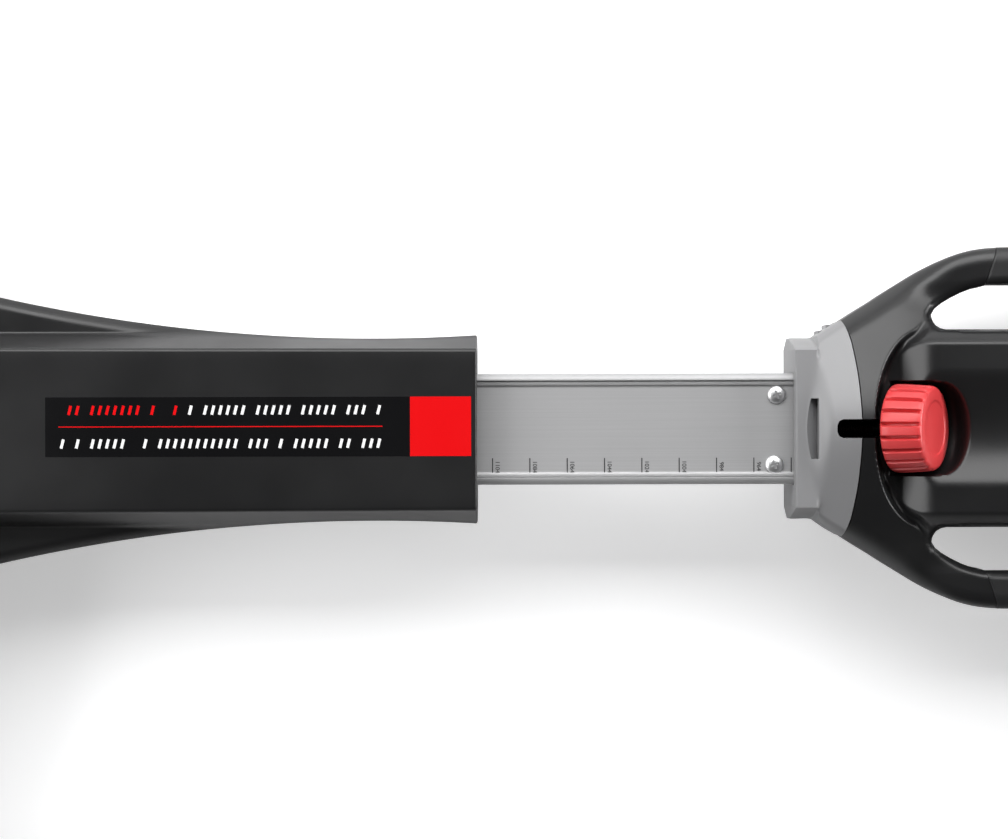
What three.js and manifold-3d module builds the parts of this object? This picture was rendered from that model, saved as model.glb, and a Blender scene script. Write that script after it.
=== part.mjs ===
// Telescopic floating bike rollers: three drums in a folding two-part frame that rolls on its feet.
// Millimetres, +Z up, front towards -X. The origin is on the ground under the middle of the frame.

import * as THREE from 'three';
import { mergeVertices } from 'three/addons/utils/BufferGeometryUtils.js';
import Module from 'manifold-3d';

const wasm = await Module();
wasm.setup();

// Driving dimensions of the frame
const frontReach = 480.5;
const railShown = 169.8;
const collarLength = 36.1;
const rearReach = 300.6;
const rearAxleSpacing = 250;
const armReach = 75;
const axleHeight = 90;
const bodyBottom = 35;
const bodyTop = 95;
const shoulderHeight = 70;
const slideTravel = 168;
const gap = 0.3;
const overrun = 20;

// Places along the frame, chained from the front axle; the wheelbase ends midway between the rear axles
const wheelbase = frontReach + railShown + collarLength + rearReach + rearAxleSpacing / 2;
const overallLength = wheelbase + rearAxleSpacing / 2 + 2 * armReach;
const frontAxleX = armReach - overallLength / 2;
const frontEndX = frontAxleX + frontReach;
const collarX = frontEndX + railShown;
const jointX = collarX + collarLength;
const driveAxleX = jointX + rearReach;
const backAxleX = driveAxleX + rearAxleSpacing;
const rearMiddleX = (driveAxleX + backAxleX) / 2;

// Drums
const drumLength = 490;
const drumEndRadius = 62.5;
const drumWaistRadius = 53;
const drumWall = 3;
const drumClearance = 8;
const beltWidth = 10;
const beltThickness = 3;
const beltTrackDepth = 2;
const beltTrackInset = 3;
const beltSideGap = 1;
const drumSideGap = 5;

// Side arms and axles
const armThickness = 15;
const armHalfHeight = 22;
const armInnerY = drumLength / 2 + drumSideGap;
const axleRadius = 5;
const bearingOuterRadius = 13;
const bearingWidth = 8;
const headHeight = 6;
const headRadius = 9;

// Telescopic rail
const railHalfWidth = 29.8;
const railTop = 82;
const railBottom = 56;
const railWall = 3;
const railLength = 310;
const railLipRise = 2.5;
const railBeadWidth = 3.5;
const railLipWidth = 3;
const railBeadRise = 1;

// Collar and the joint with the rear body
const collarHalfWidth = 49.3;
const spineTopHalf = 42.3;
const jointRadius = 213;
const jointGap = 0.5;
const jointHalfWidth = 61.5;
const jointTop = 99;
const pocketDepth = 21;

// Clamp: knob, washer and rod on one tilted axis
const clampTilt = 30;
const knobOffset = 19.1;
const knobX = jointX + knobOffset;
const knobHeight = 81;
const knobRadius = 23;
const knobLength = 23;
const knobFlutes = 20;
const rodRadius = 4;
const rodTail = 30;
const washerThickness = 2.4;
const slotWidth = 10;
const slotReach = 14.3;
const slotStartX = jointX - slotReach;

// Colours
const colours = {
  darkPlastic: 0x2b2b2d,
  blackPlastic: 0x18181a,
  greyPlastic: 0x8b8c8e,
  aluminium: 0xb4b5b7,
  drumMetal: 0xa9abae,
  steel: 0x9a9b9d,
  red: 0xd6282e,
  rubber: 0x151516,
};

function material(colour, roughness, metalness) {
  return new THREE.MeshStandardMaterial({ color: colour, roughness, metalness });
}

const darkPlastic = material(colours.darkPlastic, 0.6, 0);
const blackPlastic = material(colours.blackPlastic, 0.55, 0);
const greyPlastic = material(colours.greyPlastic, 0.55, 0);
const aluminium = material(colours.aluminium, 0.35, 0.9);
const drumMetal = material(colours.drumMetal, 0.3, 0.9);
const steel = material(colours.steel, 0.3, 1);
const redPlastic = material(colours.red, 0.45, 0);
const rubber = material(colours.rubber, 0.8, 0);

const rollers = new THREE.Group();

// Solids and meshes
function solid(geometry) {
  const bare = geometry.clone();
  for (const name of Object.keys(bare.attributes)) {
    if (name !== 'position') {
      bare.deleteAttribute(name);
    }
  }
  const merged = mergeVertices(bare);
  return new wasm.Manifold(new wasm.Mesh({
    numProp: 3,
    vertProperties: new Float32Array(merged.attributes.position.array),
    triVerts: new Uint32Array(merged.index.array),
  }));
}

function join(...solids) {
  return solids.reduce((whole, next) => whole.add(next));
}

function cut(body, ...tools) {
  return tools.reduce((whole, tool) => whole.subtract(tool), body);
}

function addPiece(name, shape, look) {
  const mesh = shape.getMesh();
  const geometry = new THREE.BufferGeometry();
  geometry.setAttribute('position', new THREE.BufferAttribute(mesh.vertProperties, 3));
  geometry.setIndex(new THREE.BufferAttribute(mesh.triVerts, 1));
  const flat = geometry.toNonIndexed();
  flat.computeVertexNormals();
  const piece = new THREE.Mesh(flat, look);
  piece.name = name;
  rollers.add(piece);
}

// Basic forms, each placed by its limits or its axis
function box(x0, x1, y0, y1, z0, z1) {
  const geometry = new THREE.BoxGeometry(x1 - x0, y1 - y0, z1 - z0);
  geometry.translate((x0 + x1) / 2, (y0 + y1) / 2, (z0 + z1) / 2);
  return solid(geometry);
}

function plate(shape, z0, z1, bevel = 0, curveSegments = 3) {
  const geometry = new THREE.ExtrudeGeometry(shape, {
    depth: z1 - z0 - 2 * bevel,
    bevelEnabled: bevel > 0,
    bevelThickness: bevel,
    bevelSize: bevel,
    bevelOffset: -bevel,
    bevelSegments: 1,
    curveSegments,
  });
  geometry.translate(0, 0, z0 + bevel);
  return solid(geometry);
}

// A side profile drawn in X and Z, run along Y
function sidePlate(shape, y0, y1, bevel = 0) {
  const geometry = new THREE.ExtrudeGeometry(shape, {
    depth: y1 - y0 - 2 * bevel,
    bevelEnabled: bevel > 0,
    bevelThickness: bevel,
    bevelSize: bevel,
    bevelOffset: -bevel,
    bevelSegments: 1,
    curveSegments: 8,
  });
  geometry.rotateX(Math.PI / 2);
  geometry.translate(0, y1 - bevel, 0);
  return solid(geometry);
}

// A cross-section drawn in Y and Z, run along X
function runAlongX(shape, x0, x1) {
  const geometry = new THREE.ExtrudeGeometry(shape, { depth: x1 - x0, bevelEnabled: false, curveSegments: 4 });
  const axes = new THREE.Matrix4().makeBasis(
    new THREE.Vector3(0, 1, 0),
    new THREE.Vector3(0, 0, 1),
    new THREE.Vector3(1, 0, 0),
  );
  geometry.applyMatrix4(axes);
  geometry.translate(x0, 0, 0);
  return solid(geometry);
}

function cylinderY(radius, y0, y1, x, z, sides = 24) {
  const geometry = new THREE.CylinderGeometry(radius, radius, y1 - y0, sides);
  geometry.translate(x, (y0 + y1) / 2, z);
  return solid(geometry);
}

function cylinderZ(radius, z0, z1, x, y, sides = 24) {
  const geometry = new THREE.CylinderGeometry(radius, radius, z1 - z0, sides);
  geometry.rotateX(Math.PI / 2);
  geometry.translate(x, y, (z0 + z1) / 2);
  return solid(geometry);
}

// A turned ring or disc on an axis along Y: the profile is [radius, distance along Y]
function turnedY(profile, x, y, z, sides) {
  const points = profile.map(([radius, along]) => new THREE.Vector2(radius, along));
  const geometry = new THREE.LatheGeometry([...points, points[0].clone()], sides);
  geometry.translate(x, y, z);
  return solid(geometry);
}

function rectangle(x0, x1, y0, y1, corner = 0) {
  const shape = new THREE.Shape();
  if (corner === 0) {
    shape.moveTo(x0, y0).lineTo(x1, y0).lineTo(x1, y1).lineTo(x0, y1).closePath();
    return shape;
  }
  shape.moveTo(x0 + corner, y0).lineTo(x1 - corner, y0);
  shape.absarc(x1 - corner, y0 + corner, corner, -Math.PI / 2, 0, false);
  shape.absarc(x1 - corner, y1 - corner, corner, 0, Math.PI / 2, false);
  shape.absarc(x0 + corner, y1 - corner, corner, Math.PI / 2, Math.PI, false);
  shape.absarc(x0 + corner, y0 + corner, corner, Math.PI, 1.5 * Math.PI, false);
  return shape;
}

// A loft along X: each station is { x, ring }, where the ring is the +Y half from bottom to top
function loft(stations) {
  const sides = stations[0].ring.length * 2;
  const positions = [];
  const index = [];
  for (const { x, ring } of stations) {
    const mirrored = ring.map(([y, z]) => [-y, z]).reverse();
    for (const [y, z] of [...ring, ...mirrored]) {
      positions.push(x, y, z);
    }
  }
  for (let station = 0; station + 1 < stations.length; station += 1) {
    for (let side = 0; side < sides; side += 1) {
      const a = station * sides + side;
      const b = station * sides + ((side + 1) % sides);
      index.push(a, b, a + sides);
      index.push(b, b + sides, a + sides);
    }
  }
  const outline = [...stations[0].ring, ...stations[0].ring.map(([y, z]) => [-y, z]).reverse()];
  const capPoints = outline.map(([y, z]) => new THREE.Vector2(y, z));
  const last = (stations.length - 1) * sides;
  for (const [a, b, c] of THREE.ShapeUtils.triangulateShape(capPoints, [])) {
    index.push(a, c, b);
    index.push(last + a, last + b, last + c);
  }
  const geometry = new THREE.BufferGeometry();
  geometry.setAttribute('position', new THREE.Float32BufferAttribute(positions, 3));
  geometry.setIndex(index);
  return solid(geometry);
}

// Section of the moulded spine: sloped flanks from the shoulder up to a flat top
const footTuck = 8;
const topEdgeWidth = 2;
const topEdgeDrop = 2.5;
const shoulderDrop = 20;

function spineRing(shoulderHalf, topHalf, top, dish = 0) {
  const edgeHalf = Math.min(topHalf + topEdgeWidth, shoulderHalf);
  const middleHalf = (edgeHalf + shoulderHalf) / 2;
  const middleHeight = (top - topEdgeDrop + shoulderHeight) / 2;
  return [
    [shoulderHalf - footTuck, bodyBottom],
    [shoulderHalf, shoulderHeight - shoulderDrop],
    [shoulderHalf, shoulderHeight],
    [middleHalf, middleHeight - dish],
    [edgeHalf, top - topEdgeDrop],
    [topHalf, top],
  ];
}

// Front body: spine, flaring yoke, rail channel and hollow underside
const frontWaistRun = 54.7;
const frontWaistX = frontEndX - frontWaistRun;
const flareSpan = 202;
const flareRise = 22.5;
const frontEndChamfer = 3;
const yokeFrontX = frontAxleX + drumEndRadius + drumClearance;
const yokeDepth = 80;
const yokeRun = 148;
const yokeStartX = yokeFrontX + yokeRun;
const flareShares = { outer: 1.7, inner: 1.12 };
const yokeBevel = 5;
const topSpreadShare = 0.01;
const dishRun = 162;
const dishDepth = 7;
const dishStartX = frontEndX - dishRun;
const channelClearance = 0.5;
const coverThickness = 3;
const coverRim = 6;
const coverHalf = 38;
const coverCorner = 6;
const hollowTop = 52;
const coverInset = 12;
const coverOverYoke = 50;
const coverStartX = frontEndX - coverInset;
const coverEndX = yokeStartX - coverOverYoke;

function frontShoulder(x) {
  return collarHalfWidth + flareRise * ((frontWaistX - x) / flareSpan) ** 2;
}

function frontSpine() {
  const stations = [];
  const add = (x, inset) => {
    const dish = dishDepth * Math.max(0, (dishStartX - x) / (dishStartX - yokeStartX));
    const topHalf = spineTopHalf + topSpreadShare * (frontEndX - x);
    const ring = spineRing(frontShoulder(x) - inset, topHalf - inset, bodyTop - inset, dish);
    stations.push({ x, ring });
  };
  const length = frontEndX - frontEndChamfer - yokeStartX;
  const steps = 9;
  for (let step = 0; step <= steps; step += 1) {
    add(yokeStartX + (length * step) / steps, 0);
  }
  add(frontEndX, frontEndChamfer / 2);
  return loft([{ x: yokeFrontX + yokeDepth / 2, ring: stations[0].ring }, ...stations]);
}

function frontYoke() {
  const half = armInnerY - gap;
  const startHalf = frontShoulder(yokeStartX);
  const backX = yokeFrontX + yokeDepth;
  const run = (yokeStartX - backX) / 2;
  const shape = new THREE.Shape();
  shape.moveTo(yokeFrontX, -half);
  shape.lineTo(backX, -half);
  shape.bezierCurveTo(backX + run, -startHalf * flareShares.outer, yokeStartX - run,
    -startHalf * flareShares.inner, yokeStartX, -startHalf);
  shape.lineTo(yokeStartX, startHalf);
  shape.bezierCurveTo(yokeStartX - run, startHalf * flareShares.inner, backX + run,
    startHalf * flareShares.outer, backX, half);
  shape.lineTo(yokeFrontX, half);
  shape.closePath();
  return plate(shape, bodyBottom, bodyTop - topEdgeDrop, yokeBevel);
}

function undersideHollow(x0, x1) {
  const recess = plate(rectangle(x0, x1, -coverHalf, coverHalf, coverCorner),
    bodyBottom - overrun, bodyBottom + coverThickness);
  const hollow = plate(rectangle(x0 + coverRim, x1 - coverRim, coverRim - coverHalf, coverHalf - coverRim, coverCorner),
    bodyBottom, hollowTop);
  return join(recess, hollow);
}

function baseCover(x0, x1) {
  const shape = rectangle(x0 + gap, x1 - gap, gap - coverHalf, coverHalf - gap, coverCorner);
  return plate(shape, bodyBottom, bodyBottom + coverThickness - gap);
}

const railInnerEndX = collarX + pocketDepth - railLength;
const channelEndX = railInnerEndX - slideTravel - overrun / 2;

const railChannel = box(channelEndX, frontEndX + overrun, -railHalfWidth - channelClearance,
  railHalfWidth + channelClearance, railBottom - channelClearance, railTop + channelClearance);

addPiece('front_body', cut(join(frontSpine(), frontYoke()), railChannel,
  undersideHollow(coverEndX, coverStartX)), darkPlastic);
addPiece('front_base_cover', baseCover(coverEndX, coverStartX), darkPlastic);

// Telescopic rail: open tube with edge beads, lips and a recessed face for the scale
const screwToCollar = 8.7;
const screwX = collarX - screwToCollar;
const screwSpacing = 36;
const screwRadius = 2.5;
const screwHeadRadius = 5;
const screwHeadHeight = 2.6;
const screwCrownShare = 0.7;
const screwLength = 14;
const railFace = railTop - railLipRise;

function railOuterShape() {
  const beadInner = railHalfWidth - railBeadWidth;
  const lipInner = beadInner - railLipWidth;
  const lipTop = railTop - railBeadRise;
  const outer = new THREE.Shape();
  outer.moveTo(-railHalfWidth, railBottom);
  outer.lineTo(railHalfWidth, railBottom);
  outer.lineTo(railHalfWidth, railTop - railBeadWidth / 2);
  outer.quadraticCurveTo(railHalfWidth, railTop, railHalfWidth - railBeadWidth / 2, railTop);
  outer.quadraticCurveTo(beadInner, railTop, beadInner, lipTop);
  outer.lineTo(lipInner, lipTop);
  outer.lineTo(lipInner, railFace);
  outer.lineTo(-lipInner, railFace);
  outer.lineTo(-lipInner, lipTop);
  outer.lineTo(-beadInner, lipTop);
  outer.quadraticCurveTo(-beadInner, railTop, railBeadWidth / 2 - railHalfWidth, railTop);
  outer.quadraticCurveTo(-railHalfWidth, railTop, -railHalfWidth, railTop - railBeadWidth / 2);
  outer.closePath();
  return outer;
}

const railSolid = runAlongX(railOuterShape(), railInnerEndX, collarX + pocketDepth);
const railHollow = box(railInnerEndX - overrun, collarX + pocketDepth + overrun, railWall - railHalfWidth,
  railHalfWidth - railWall, railBottom + railWall, railFace - railWall);
const screwPlaces = [['upper', screwSpacing / 2], ['lower', -screwSpacing / 2]];
const screwHoles = screwPlaces.map(([, y]) => cylinderZ(screwRadius + gap, railFace - screwLength - gap,
  railFace + overrun, screwX, y, 16));

addPiece('rail', cut(railSolid, railHollow, ...screwHoles), aluminium);

for (const [side, y] of screwPlaces) {
  const profile = [
    new THREE.Vector2(0, -screwLength),
    new THREE.Vector2(screwRadius, -screwLength),
    new THREE.Vector2(screwRadius, gap / 2),
    new THREE.Vector2(screwHeadRadius, gap / 2),
    new THREE.Vector2(screwHeadRadius, screwHeadHeight / 3),
    new THREE.Vector2(screwHeadRadius * screwCrownShare, screwHeadHeight * screwCrownShare),
    new THREE.Vector2(0, screwHeadHeight),
  ];
  const geometry = new THREE.LatheGeometry(profile, 20);
  geometry.rotateX(Math.PI / 2);
  geometry.translate(screwX, y, railFace);
  addPiece(`rail_screw_${side}`, solid(geometry), steel);
}

// Glide block that plugs the hidden end of the rail and keeps it square in the channel
const glideFlange = 6;
const glidePlug = 18;
const glideFlangeX = railInnerEndX - gap - glideFlange;
const glide = join(
  box(glideFlangeX, railInnerEndX - gap, gap - railHalfWidth, railHalfWidth - gap, railBottom + gap, railTop - gap),
  box(glideFlangeX + glideFlange / 2, railInnerEndX + glidePlug, railWall + gap - railHalfWidth,
    railHalfWidth - railWall - gap, railBottom + railWall + gap, railFace - railWall - gap),
);
addPiece('rail_glide', glide, blackPlastic);

// Collar: holds the rail end, with a tongue inside the rail, a scoop and the clamp slot
const collarFlatLength = 13.2;
const collarFlatEndX = collarX + collarFlatLength;
const tongueLength = 25;
const scoopInset = 7.4;
const scoopLength = 6;
const scoopStartX = collarX + scoopInset;
const scoopEndX = scoopStartX + scoopLength;
const scoopHalf = 16.1;
const scoopDepth = 14;
const slotFloor = 50;
const pinInset = 17.9;
const pinX = jointX - pinInset;
const pinHeight = 20;
const pinRadius = 5;
const lugRadius = 10;
const lugHalf = 19.7;
const earWidth = 12;

const jointCentreX = jointX - jointRadius;

function jointCylinder(radius) {
  const geometry = new THREE.CylinderGeometry(radius, radius, bodyTop * 2, 120);
  geometry.rotateX(Math.PI / 2);
  geometry.translate(jointCentreX, 0, bodyTop / 2);
  return solid(geometry);
}

function collarBody() {
  const flareLength = jointX - collarFlatEndX;
  const flare = jointHalfWidth - collarHalfWidth;
  const stations = [
    { x: collarX, ring: spineRing(collarHalfWidth - gap, spineTopHalf - gap, bodyTop - gap) },
    { x: collarX + gap, ring: spineRing(collarHalfWidth, spineTopHalf, bodyTop) },
    { x: collarFlatEndX, ring: spineRing(collarHalfWidth, spineTopHalf, bodyTop) },
  ];
  const collarShares = [0.12, 0.45, 0.7, 1];
  for (const share of collarShares) {
    const half = collarHalfWidth + flare * Math.sqrt(share);
    const top = bodyTop + (jointTop - bodyTop) * share;
    stations.push({ x: collarFlatEndX + flareLength * share, ring: spineRing(half, spineTopHalf, top) });
  }
  return loft(stations).intersect(jointCylinder(jointRadius));
}

function foldLug() {
  const shape = new THREE.Shape();
  shape.absarc(pinX, pinHeight, lugRadius, Math.PI, 2 * Math.PI, false);
  shape.lineTo(pinX + lugRadius, bodyBottom + lugRadius);
  shape.lineTo(pinX - lugRadius, bodyBottom + lugRadius);
  shape.closePath();
  return sidePlate(shape, -lugHalf, lugHalf);
}

const railPocket = box(collarX - overrun, collarX + pocketDepth + gap, -railHalfWidth - gap, railHalfWidth + gap,
  railBottom - gap, railTop + gap);
const tongue = box(collarX - tongueLength, collarX + pocketDepth + overrun / 4, railWall + gap - railHalfWidth,
  railHalfWidth - railWall - gap, railBottom + railWall + gap, railFace - railWall - gap);
const collarSlot = join(
  box(slotStartX + slotWidth / 4, jointX + overrun, -slotWidth / 2, slotWidth / 2, slotFloor, jointTop + overrun),
  plate(rectangle(slotStartX, jointX, -slotWidth / 2, slotWidth / 2, slotWidth / 4), slotFloor, jointTop + overrun),
);

function collarScoop() {
  const shape = new THREE.Shape();
  shape.moveTo(scoopEndX, -scoopHalf);
  shape.lineTo(scoopEndX, scoopHalf);
  shape.quadraticCurveTo(2 * scoopStartX - scoopEndX, 0, scoopEndX, -scoopHalf);
  return plate(shape, bodyTop - scoopDepth + railWall, bodyTop + overrun);
}

const collar = cut(
  join(cut(join(collarBody(), foldLug()), railPocket), tongue),
  collarSlot,
  collarScoop(),
  cylinderY(pinRadius + gap, -lugHalf - overrun, lugHalf + overrun, pinX, pinHeight),
  ...screwHoles,
);
addPiece('collar', collar, greyPlastic);

// Fold pin through the collar's lug and the rear body's ears
const pinLength = 2 * (lugHalf + gap + earWidth);
addPiece('fold_pin', cylinderY(pinRadius, -pinLength / 2, pinLength / 2, pinX, pinHeight), steel);

// Rear body: shoulders that run out into two carrying handles, a centre beam and the rear yoke
const handleOuterHalf = 98.3;
const handleWidth = 20;
const handleTop = shoulderHeight;
const handleBottom = 44;
const handleBevel = 5;
const handleRun = 147;
const handleEndX = jointX + handleRun;
const openingInnerHalf = 53.2;
const openingNoseRun = 39.9;
const openingEndRun = 160;
const openingNoseX = jointX + openingNoseRun;
const openingEndX = jointX + openingEndRun;
const beamTop = 92;
const beamTopHalf = 44;
const beamHalf = 52.9;
const channelHalf = 28;
const channelFloor = 55;
const channelBackRun = 172;
const channelBackX = jointX + channelBackRun;
const rearYokeBackX = driveAxleX - drumEndRadius - drumClearance;
const rearYokeDepth = 46;
const rearYokeTop = bodyTop - handleBevel;
const earBottom = 12;
const gripWallRun = 5;
const rearCoverStartX = openingNoseX + gripWallRun;
const rearCoverEndX = rearYokeBackX - coverInset;
const gripRun = 73.5;
const gripStartX = jointX + gripRun;
const gripWall = 3;

// Shoulders and handles, as [run from the joint over the handle's start, half width over the handle's]
const shoulderRun = 82;
const shoulderShares = [
  [-0.15, 0.58],
  [-0.06, 0.625],
  [0.09, 0.7],
  [0.29, 0.803],
  [0.55, 0.924],
  [0.8, 0.985],
  [1, 1],
];
const shoulderOutline = shoulderShares.map(([run, half]) => [jointX + run * shoulderRun, half * handleOuterHalf]);
const shoulderSteps = 10;
const yokeFlareShare = 0.7;

// Outline of the rear yoke from one handle's end to the other, added to a shape that ends on the +Y side
function addYoke(shape, startX) {
  const yokeFront = rearYokeBackX - rearYokeDepth;
  const bendX = yokeFront - handleWidth;
  const half = armInnerY - gap;
  shape.lineTo(startX, handleOuterHalf);
  shape.bezierCurveTo(bendX, handleOuterHalf, bendX, half * yokeFlareShare, yokeFront, half);
  shape.lineTo(rearYokeBackX, half);
  shape.lineTo(rearYokeBackX, -half);
  shape.lineTo(yokeFront, -half);
  shape.bezierCurveTo(bendX, -half * yokeFlareShare, bendX, -handleOuterHalf, startX, -handleOuterHalf);
}

function rearPlanShape() {
  const curve = new THREE.SplineCurve(shoulderOutline.map(([x, y]) => new THREE.Vector2(x, y)));
  const upper = curve.getPoints(shoulderSteps);
  const lower = upper.map(({ x, y }) => new THREE.Vector2(x, -y)).reverse();
  const shape = new THREE.Shape();
  shape.moveTo(upper[0].x, -upper[0].y);
  for (const { x, y } of upper) {
    shape.lineTo(x, y);
  }
  addYoke(shape, handleEndX);
  for (const { x, y } of lower.slice(0, -1)) {
    shape.lineTo(x, y);
  }
  return shape;
}

function yokePlanShape() {
  const startX = openingEndX + handleWidth / 2;
  const shape = new THREE.Shape();
  shape.moveTo(startX, -handleOuterHalf);
  addYoke(shape, startX);
  return shape;
}

function handOpening(side) {
  const inner = openingInnerHalf;
  const outer = handleOuterHalf - handleWidth;
  const bend = (outer - inner) / 2;
  const shape = new THREE.Shape();
  shape.moveTo(openingNoseX + bend / 3, inner);
  shape.lineTo(openingEndX - bend, inner);
  shape.quadraticCurveTo(openingEndX, inner, openingEndX, inner + bend);
  shape.quadraticCurveTo(openingEndX, outer, openingEndX - bend, outer);
  shape.lineTo(openingNoseX + 3 * bend, outer);
  shape.quadraticCurveTo(openingNoseX + bend, outer - bend / 3, openingNoseX + bend / 6, inner + bend / 2);
  shape.quadraticCurveTo(openingNoseX - bend / 8, inner + bend / 8, openingNoseX + bend / 3, inner);
  const hole = plate(shape, bodyBottom - overrun, bodyTop + overrun);
  return side > 0 ? hole : hole.mirror([0, 1, 0]);
}

function rearShoulders() {
  const stations = shoulderOutline.slice(0, 5).map(([x, half], index) => {
    const share = index / 4;
    const top = jointTop - (jointTop - beamTop) * share ** 2;
    return { x, ring: spineRing(half, spineTopHalf + (beamTopHalf - spineTopHalf) * share, top) };
  });
  return loft(stations);
}

function rearBeam() {
  const ring = spineRing(beamHalf, beamTopHalf, beamTop);
  return loft([{ x: openingNoseX - overrun / 4, ring }, { x: rearYokeBackX - overrun, ring }]);
}

// The tilted clamp axis as a transform of its own local Z axis
const clampTurn = THREE.MathUtils.degToRad(90 - clampTilt);
const clampFrame = new THREE.Matrix4()
  .makeTranslation(knobX, 0, knobHeight)
  .multiply(new THREE.Matrix4().makeRotationY(clampTurn));

function onClampAxis(geometry) {
  const placed = geometry.clone();
  placed.applyMatrix4(clampFrame);
  return solid(placed);
}

function clampSeatCut() {
  const seat = -washerThickness - 2 * gap;
  const length = channelHalf * 4;
  const geometry = new THREE.BoxGeometry(length, channelHalf * 2, length);
  geometry.translate(0, 0, seat + length / 2);
  return onClampAxis(geometry).intersect(
    box(jointX, channelBackX, -channelHalf, channelHalf, channelFloor, jointTop + overrun),
  );
}

function rodSlotCut() {
  const length = rodTail + overrun;
  const trough = new THREE.BoxGeometry(bodyTop, slotWidth, length);
  trough.translate(rodRadius + gap - bodyTop / 2, 0, -length / 2);
  return onClampAxis(trough);
}

function gripBar(inset, x0, x1) {
  const outer = handleOuterHalf - inset;
  const inner = handleOuterHalf - handleWidth + inset;
  const shape = rectangle(inner, outer, handleBottom + inset, handleTop - inset, handleBevel);
  return runAlongX(shape, x0, x1);
}

const gripRecess = cut(
  runAlongX(rectangle(handleOuterHalf - handleWidth - gripWall, handleOuterHalf + gripWall,
    handleBottom - gripWall, handleTop + gripWall), gripStartX, handleEndX),
  gripBar(gripWall + gap, gripStartX - overrun, handleEndX + overrun),
);
const ear = box(pinX, openingNoseX, lugHalf + gap, lugHalf + gap + earWidth, earBottom, 2 * pinHeight - earBottom);
const earLink = box(jointX + jointGap + gap, openingNoseX, lugHalf + gap, lugHalf + gap + earWidth,
  earBottom, bodyBottom + overrun);
const earEnd = cylinderY(pinHeight - earBottom, lugHalf + gap, lugHalf + gap + earWidth, pinX, pinHeight);
const oneEar = join(ear, earLink, earEnd);
const earHole = cylinderY(pinRadius + gap, -pinLength, pinLength, pinX, pinHeight);

const rearCore = cut(
  join(rearShoulders(), rearBeam(), plate(rearPlanShape(), handleBottom, handleTop, handleBevel, 4),
    plate(yokePlanShape(), bodyBottom, rearYokeTop, yokeBevel)),
  jointCylinder(jointRadius + jointGap),
  handOpening(1),
  handOpening(-1),
  clampSeatCut(),
  rodSlotCut(),
  undersideHollow(rearCoverStartX, rearCoverEndX),
  gripRecess,
  gripRecess.mirror([0, 1, 0]),
);
const rearBody = cut(join(rearCore, oneEar, oneEar.mirror([0, 1, 0])), earHole);
addPiece('rear_body', rearBody, blackPlastic);
addPiece('rear_base_cover', baseCover(rearCoverStartX, rearCoverEndX), blackPlastic);

const grip = cut(
  gripBar(0, gripStartX + gap, handleEndX - gap),
  gripBar(gripWall, gripStartX - overrun, handleEndX + overrun),
);
addPiece('grip_left', grip, rubber);
addPiece('grip_right', grip.mirror([0, 1, 0]), rubber);

// Clamp rod, washer and fluted knob
const rodInKnob = 15;
const washerRadius = 10;
const knobBore = 16;
const knobFaceRecess = 1.2;
const knobFaceRadius = 16.5;
const knobBevelLength = 4;
const knobBevelWidth = 4;
const fluteDepth = 1.6;

function rodGeometry(radius, z0, z1, sides) {
  const geometry = new THREE.CylinderGeometry(radius, radius, z1 - z0, sides);
  geometry.rotateX(Math.PI / 2);
  geometry.translate(0, 0, (z0 + z1) / 2);
  return geometry;
}

addPiece('clamp_rod', onClampAxis(rodGeometry(rodRadius, -rodTail, rodInKnob, 20)), steel);
addPiece('clamp_washer', cut(
  onClampAxis(rodGeometry(washerRadius, -washerThickness - gap, -gap, 20)),
  onClampAxis(rodGeometry(rodRadius + gap, -overrun, overrun, 16)),
), steel);

function flutedOutline() {
  const pointsPerFlute = 4;
  const points = [];
  for (let step = 0; step < knobFlutes * pointsPerFlute; step += 1) {
    const share = (step % pointsPerFlute) / pointsPerFlute;
    const angle = (2 * Math.PI * step) / (knobFlutes * pointsPerFlute);
    const radius = knobRadius - fluteDepth * Math.max(0, Math.sin(2 * Math.PI * share));
    points.push(new THREE.Vector2(radius * Math.cos(angle), radius * Math.sin(angle)));
  }
  return new THREE.Shape(points);
}

function knobEnvelope() {
  const profile = [
    new THREE.Vector2(0, 0),
    new THREE.Vector2(knobRadius - fluteDepth, 0),
    new THREE.Vector2(knobRadius, fluteDepth),
    new THREE.Vector2(knobRadius, knobLength - knobBevelLength),
    new THREE.Vector2(knobRadius - knobBevelWidth, knobLength),
    new THREE.Vector2(0, knobLength),
  ];
  const geometry = new THREE.LatheGeometry(profile, 60);
  geometry.rotateX(Math.PI / 2);
  return solid(geometry);
}

function knobSolid() {
  const fluted = solid(new THREE.ExtrudeGeometry(flutedOutline(), { depth: knobLength, bevelEnabled: false }));
  const turned = cut(
    fluted.intersect(knobEnvelope()),
    solid(rodGeometry(knobFaceRadius, knobLength - knobFaceRecess, knobLength + overrun, 32)),
    solid(rodGeometry(rodRadius + gap, -overrun, knobBore, 20)),
  );
  return turned.transform(clampFrame.toArray());
}

addPiece('clamp_knob', knobSolid(), redPlastic);

// Side arms that carry the axles
const armRootHeight = 45;
const crossHalfDepth = 45;
const crossHeight = 20;
const armDropRun = 20;

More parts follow.
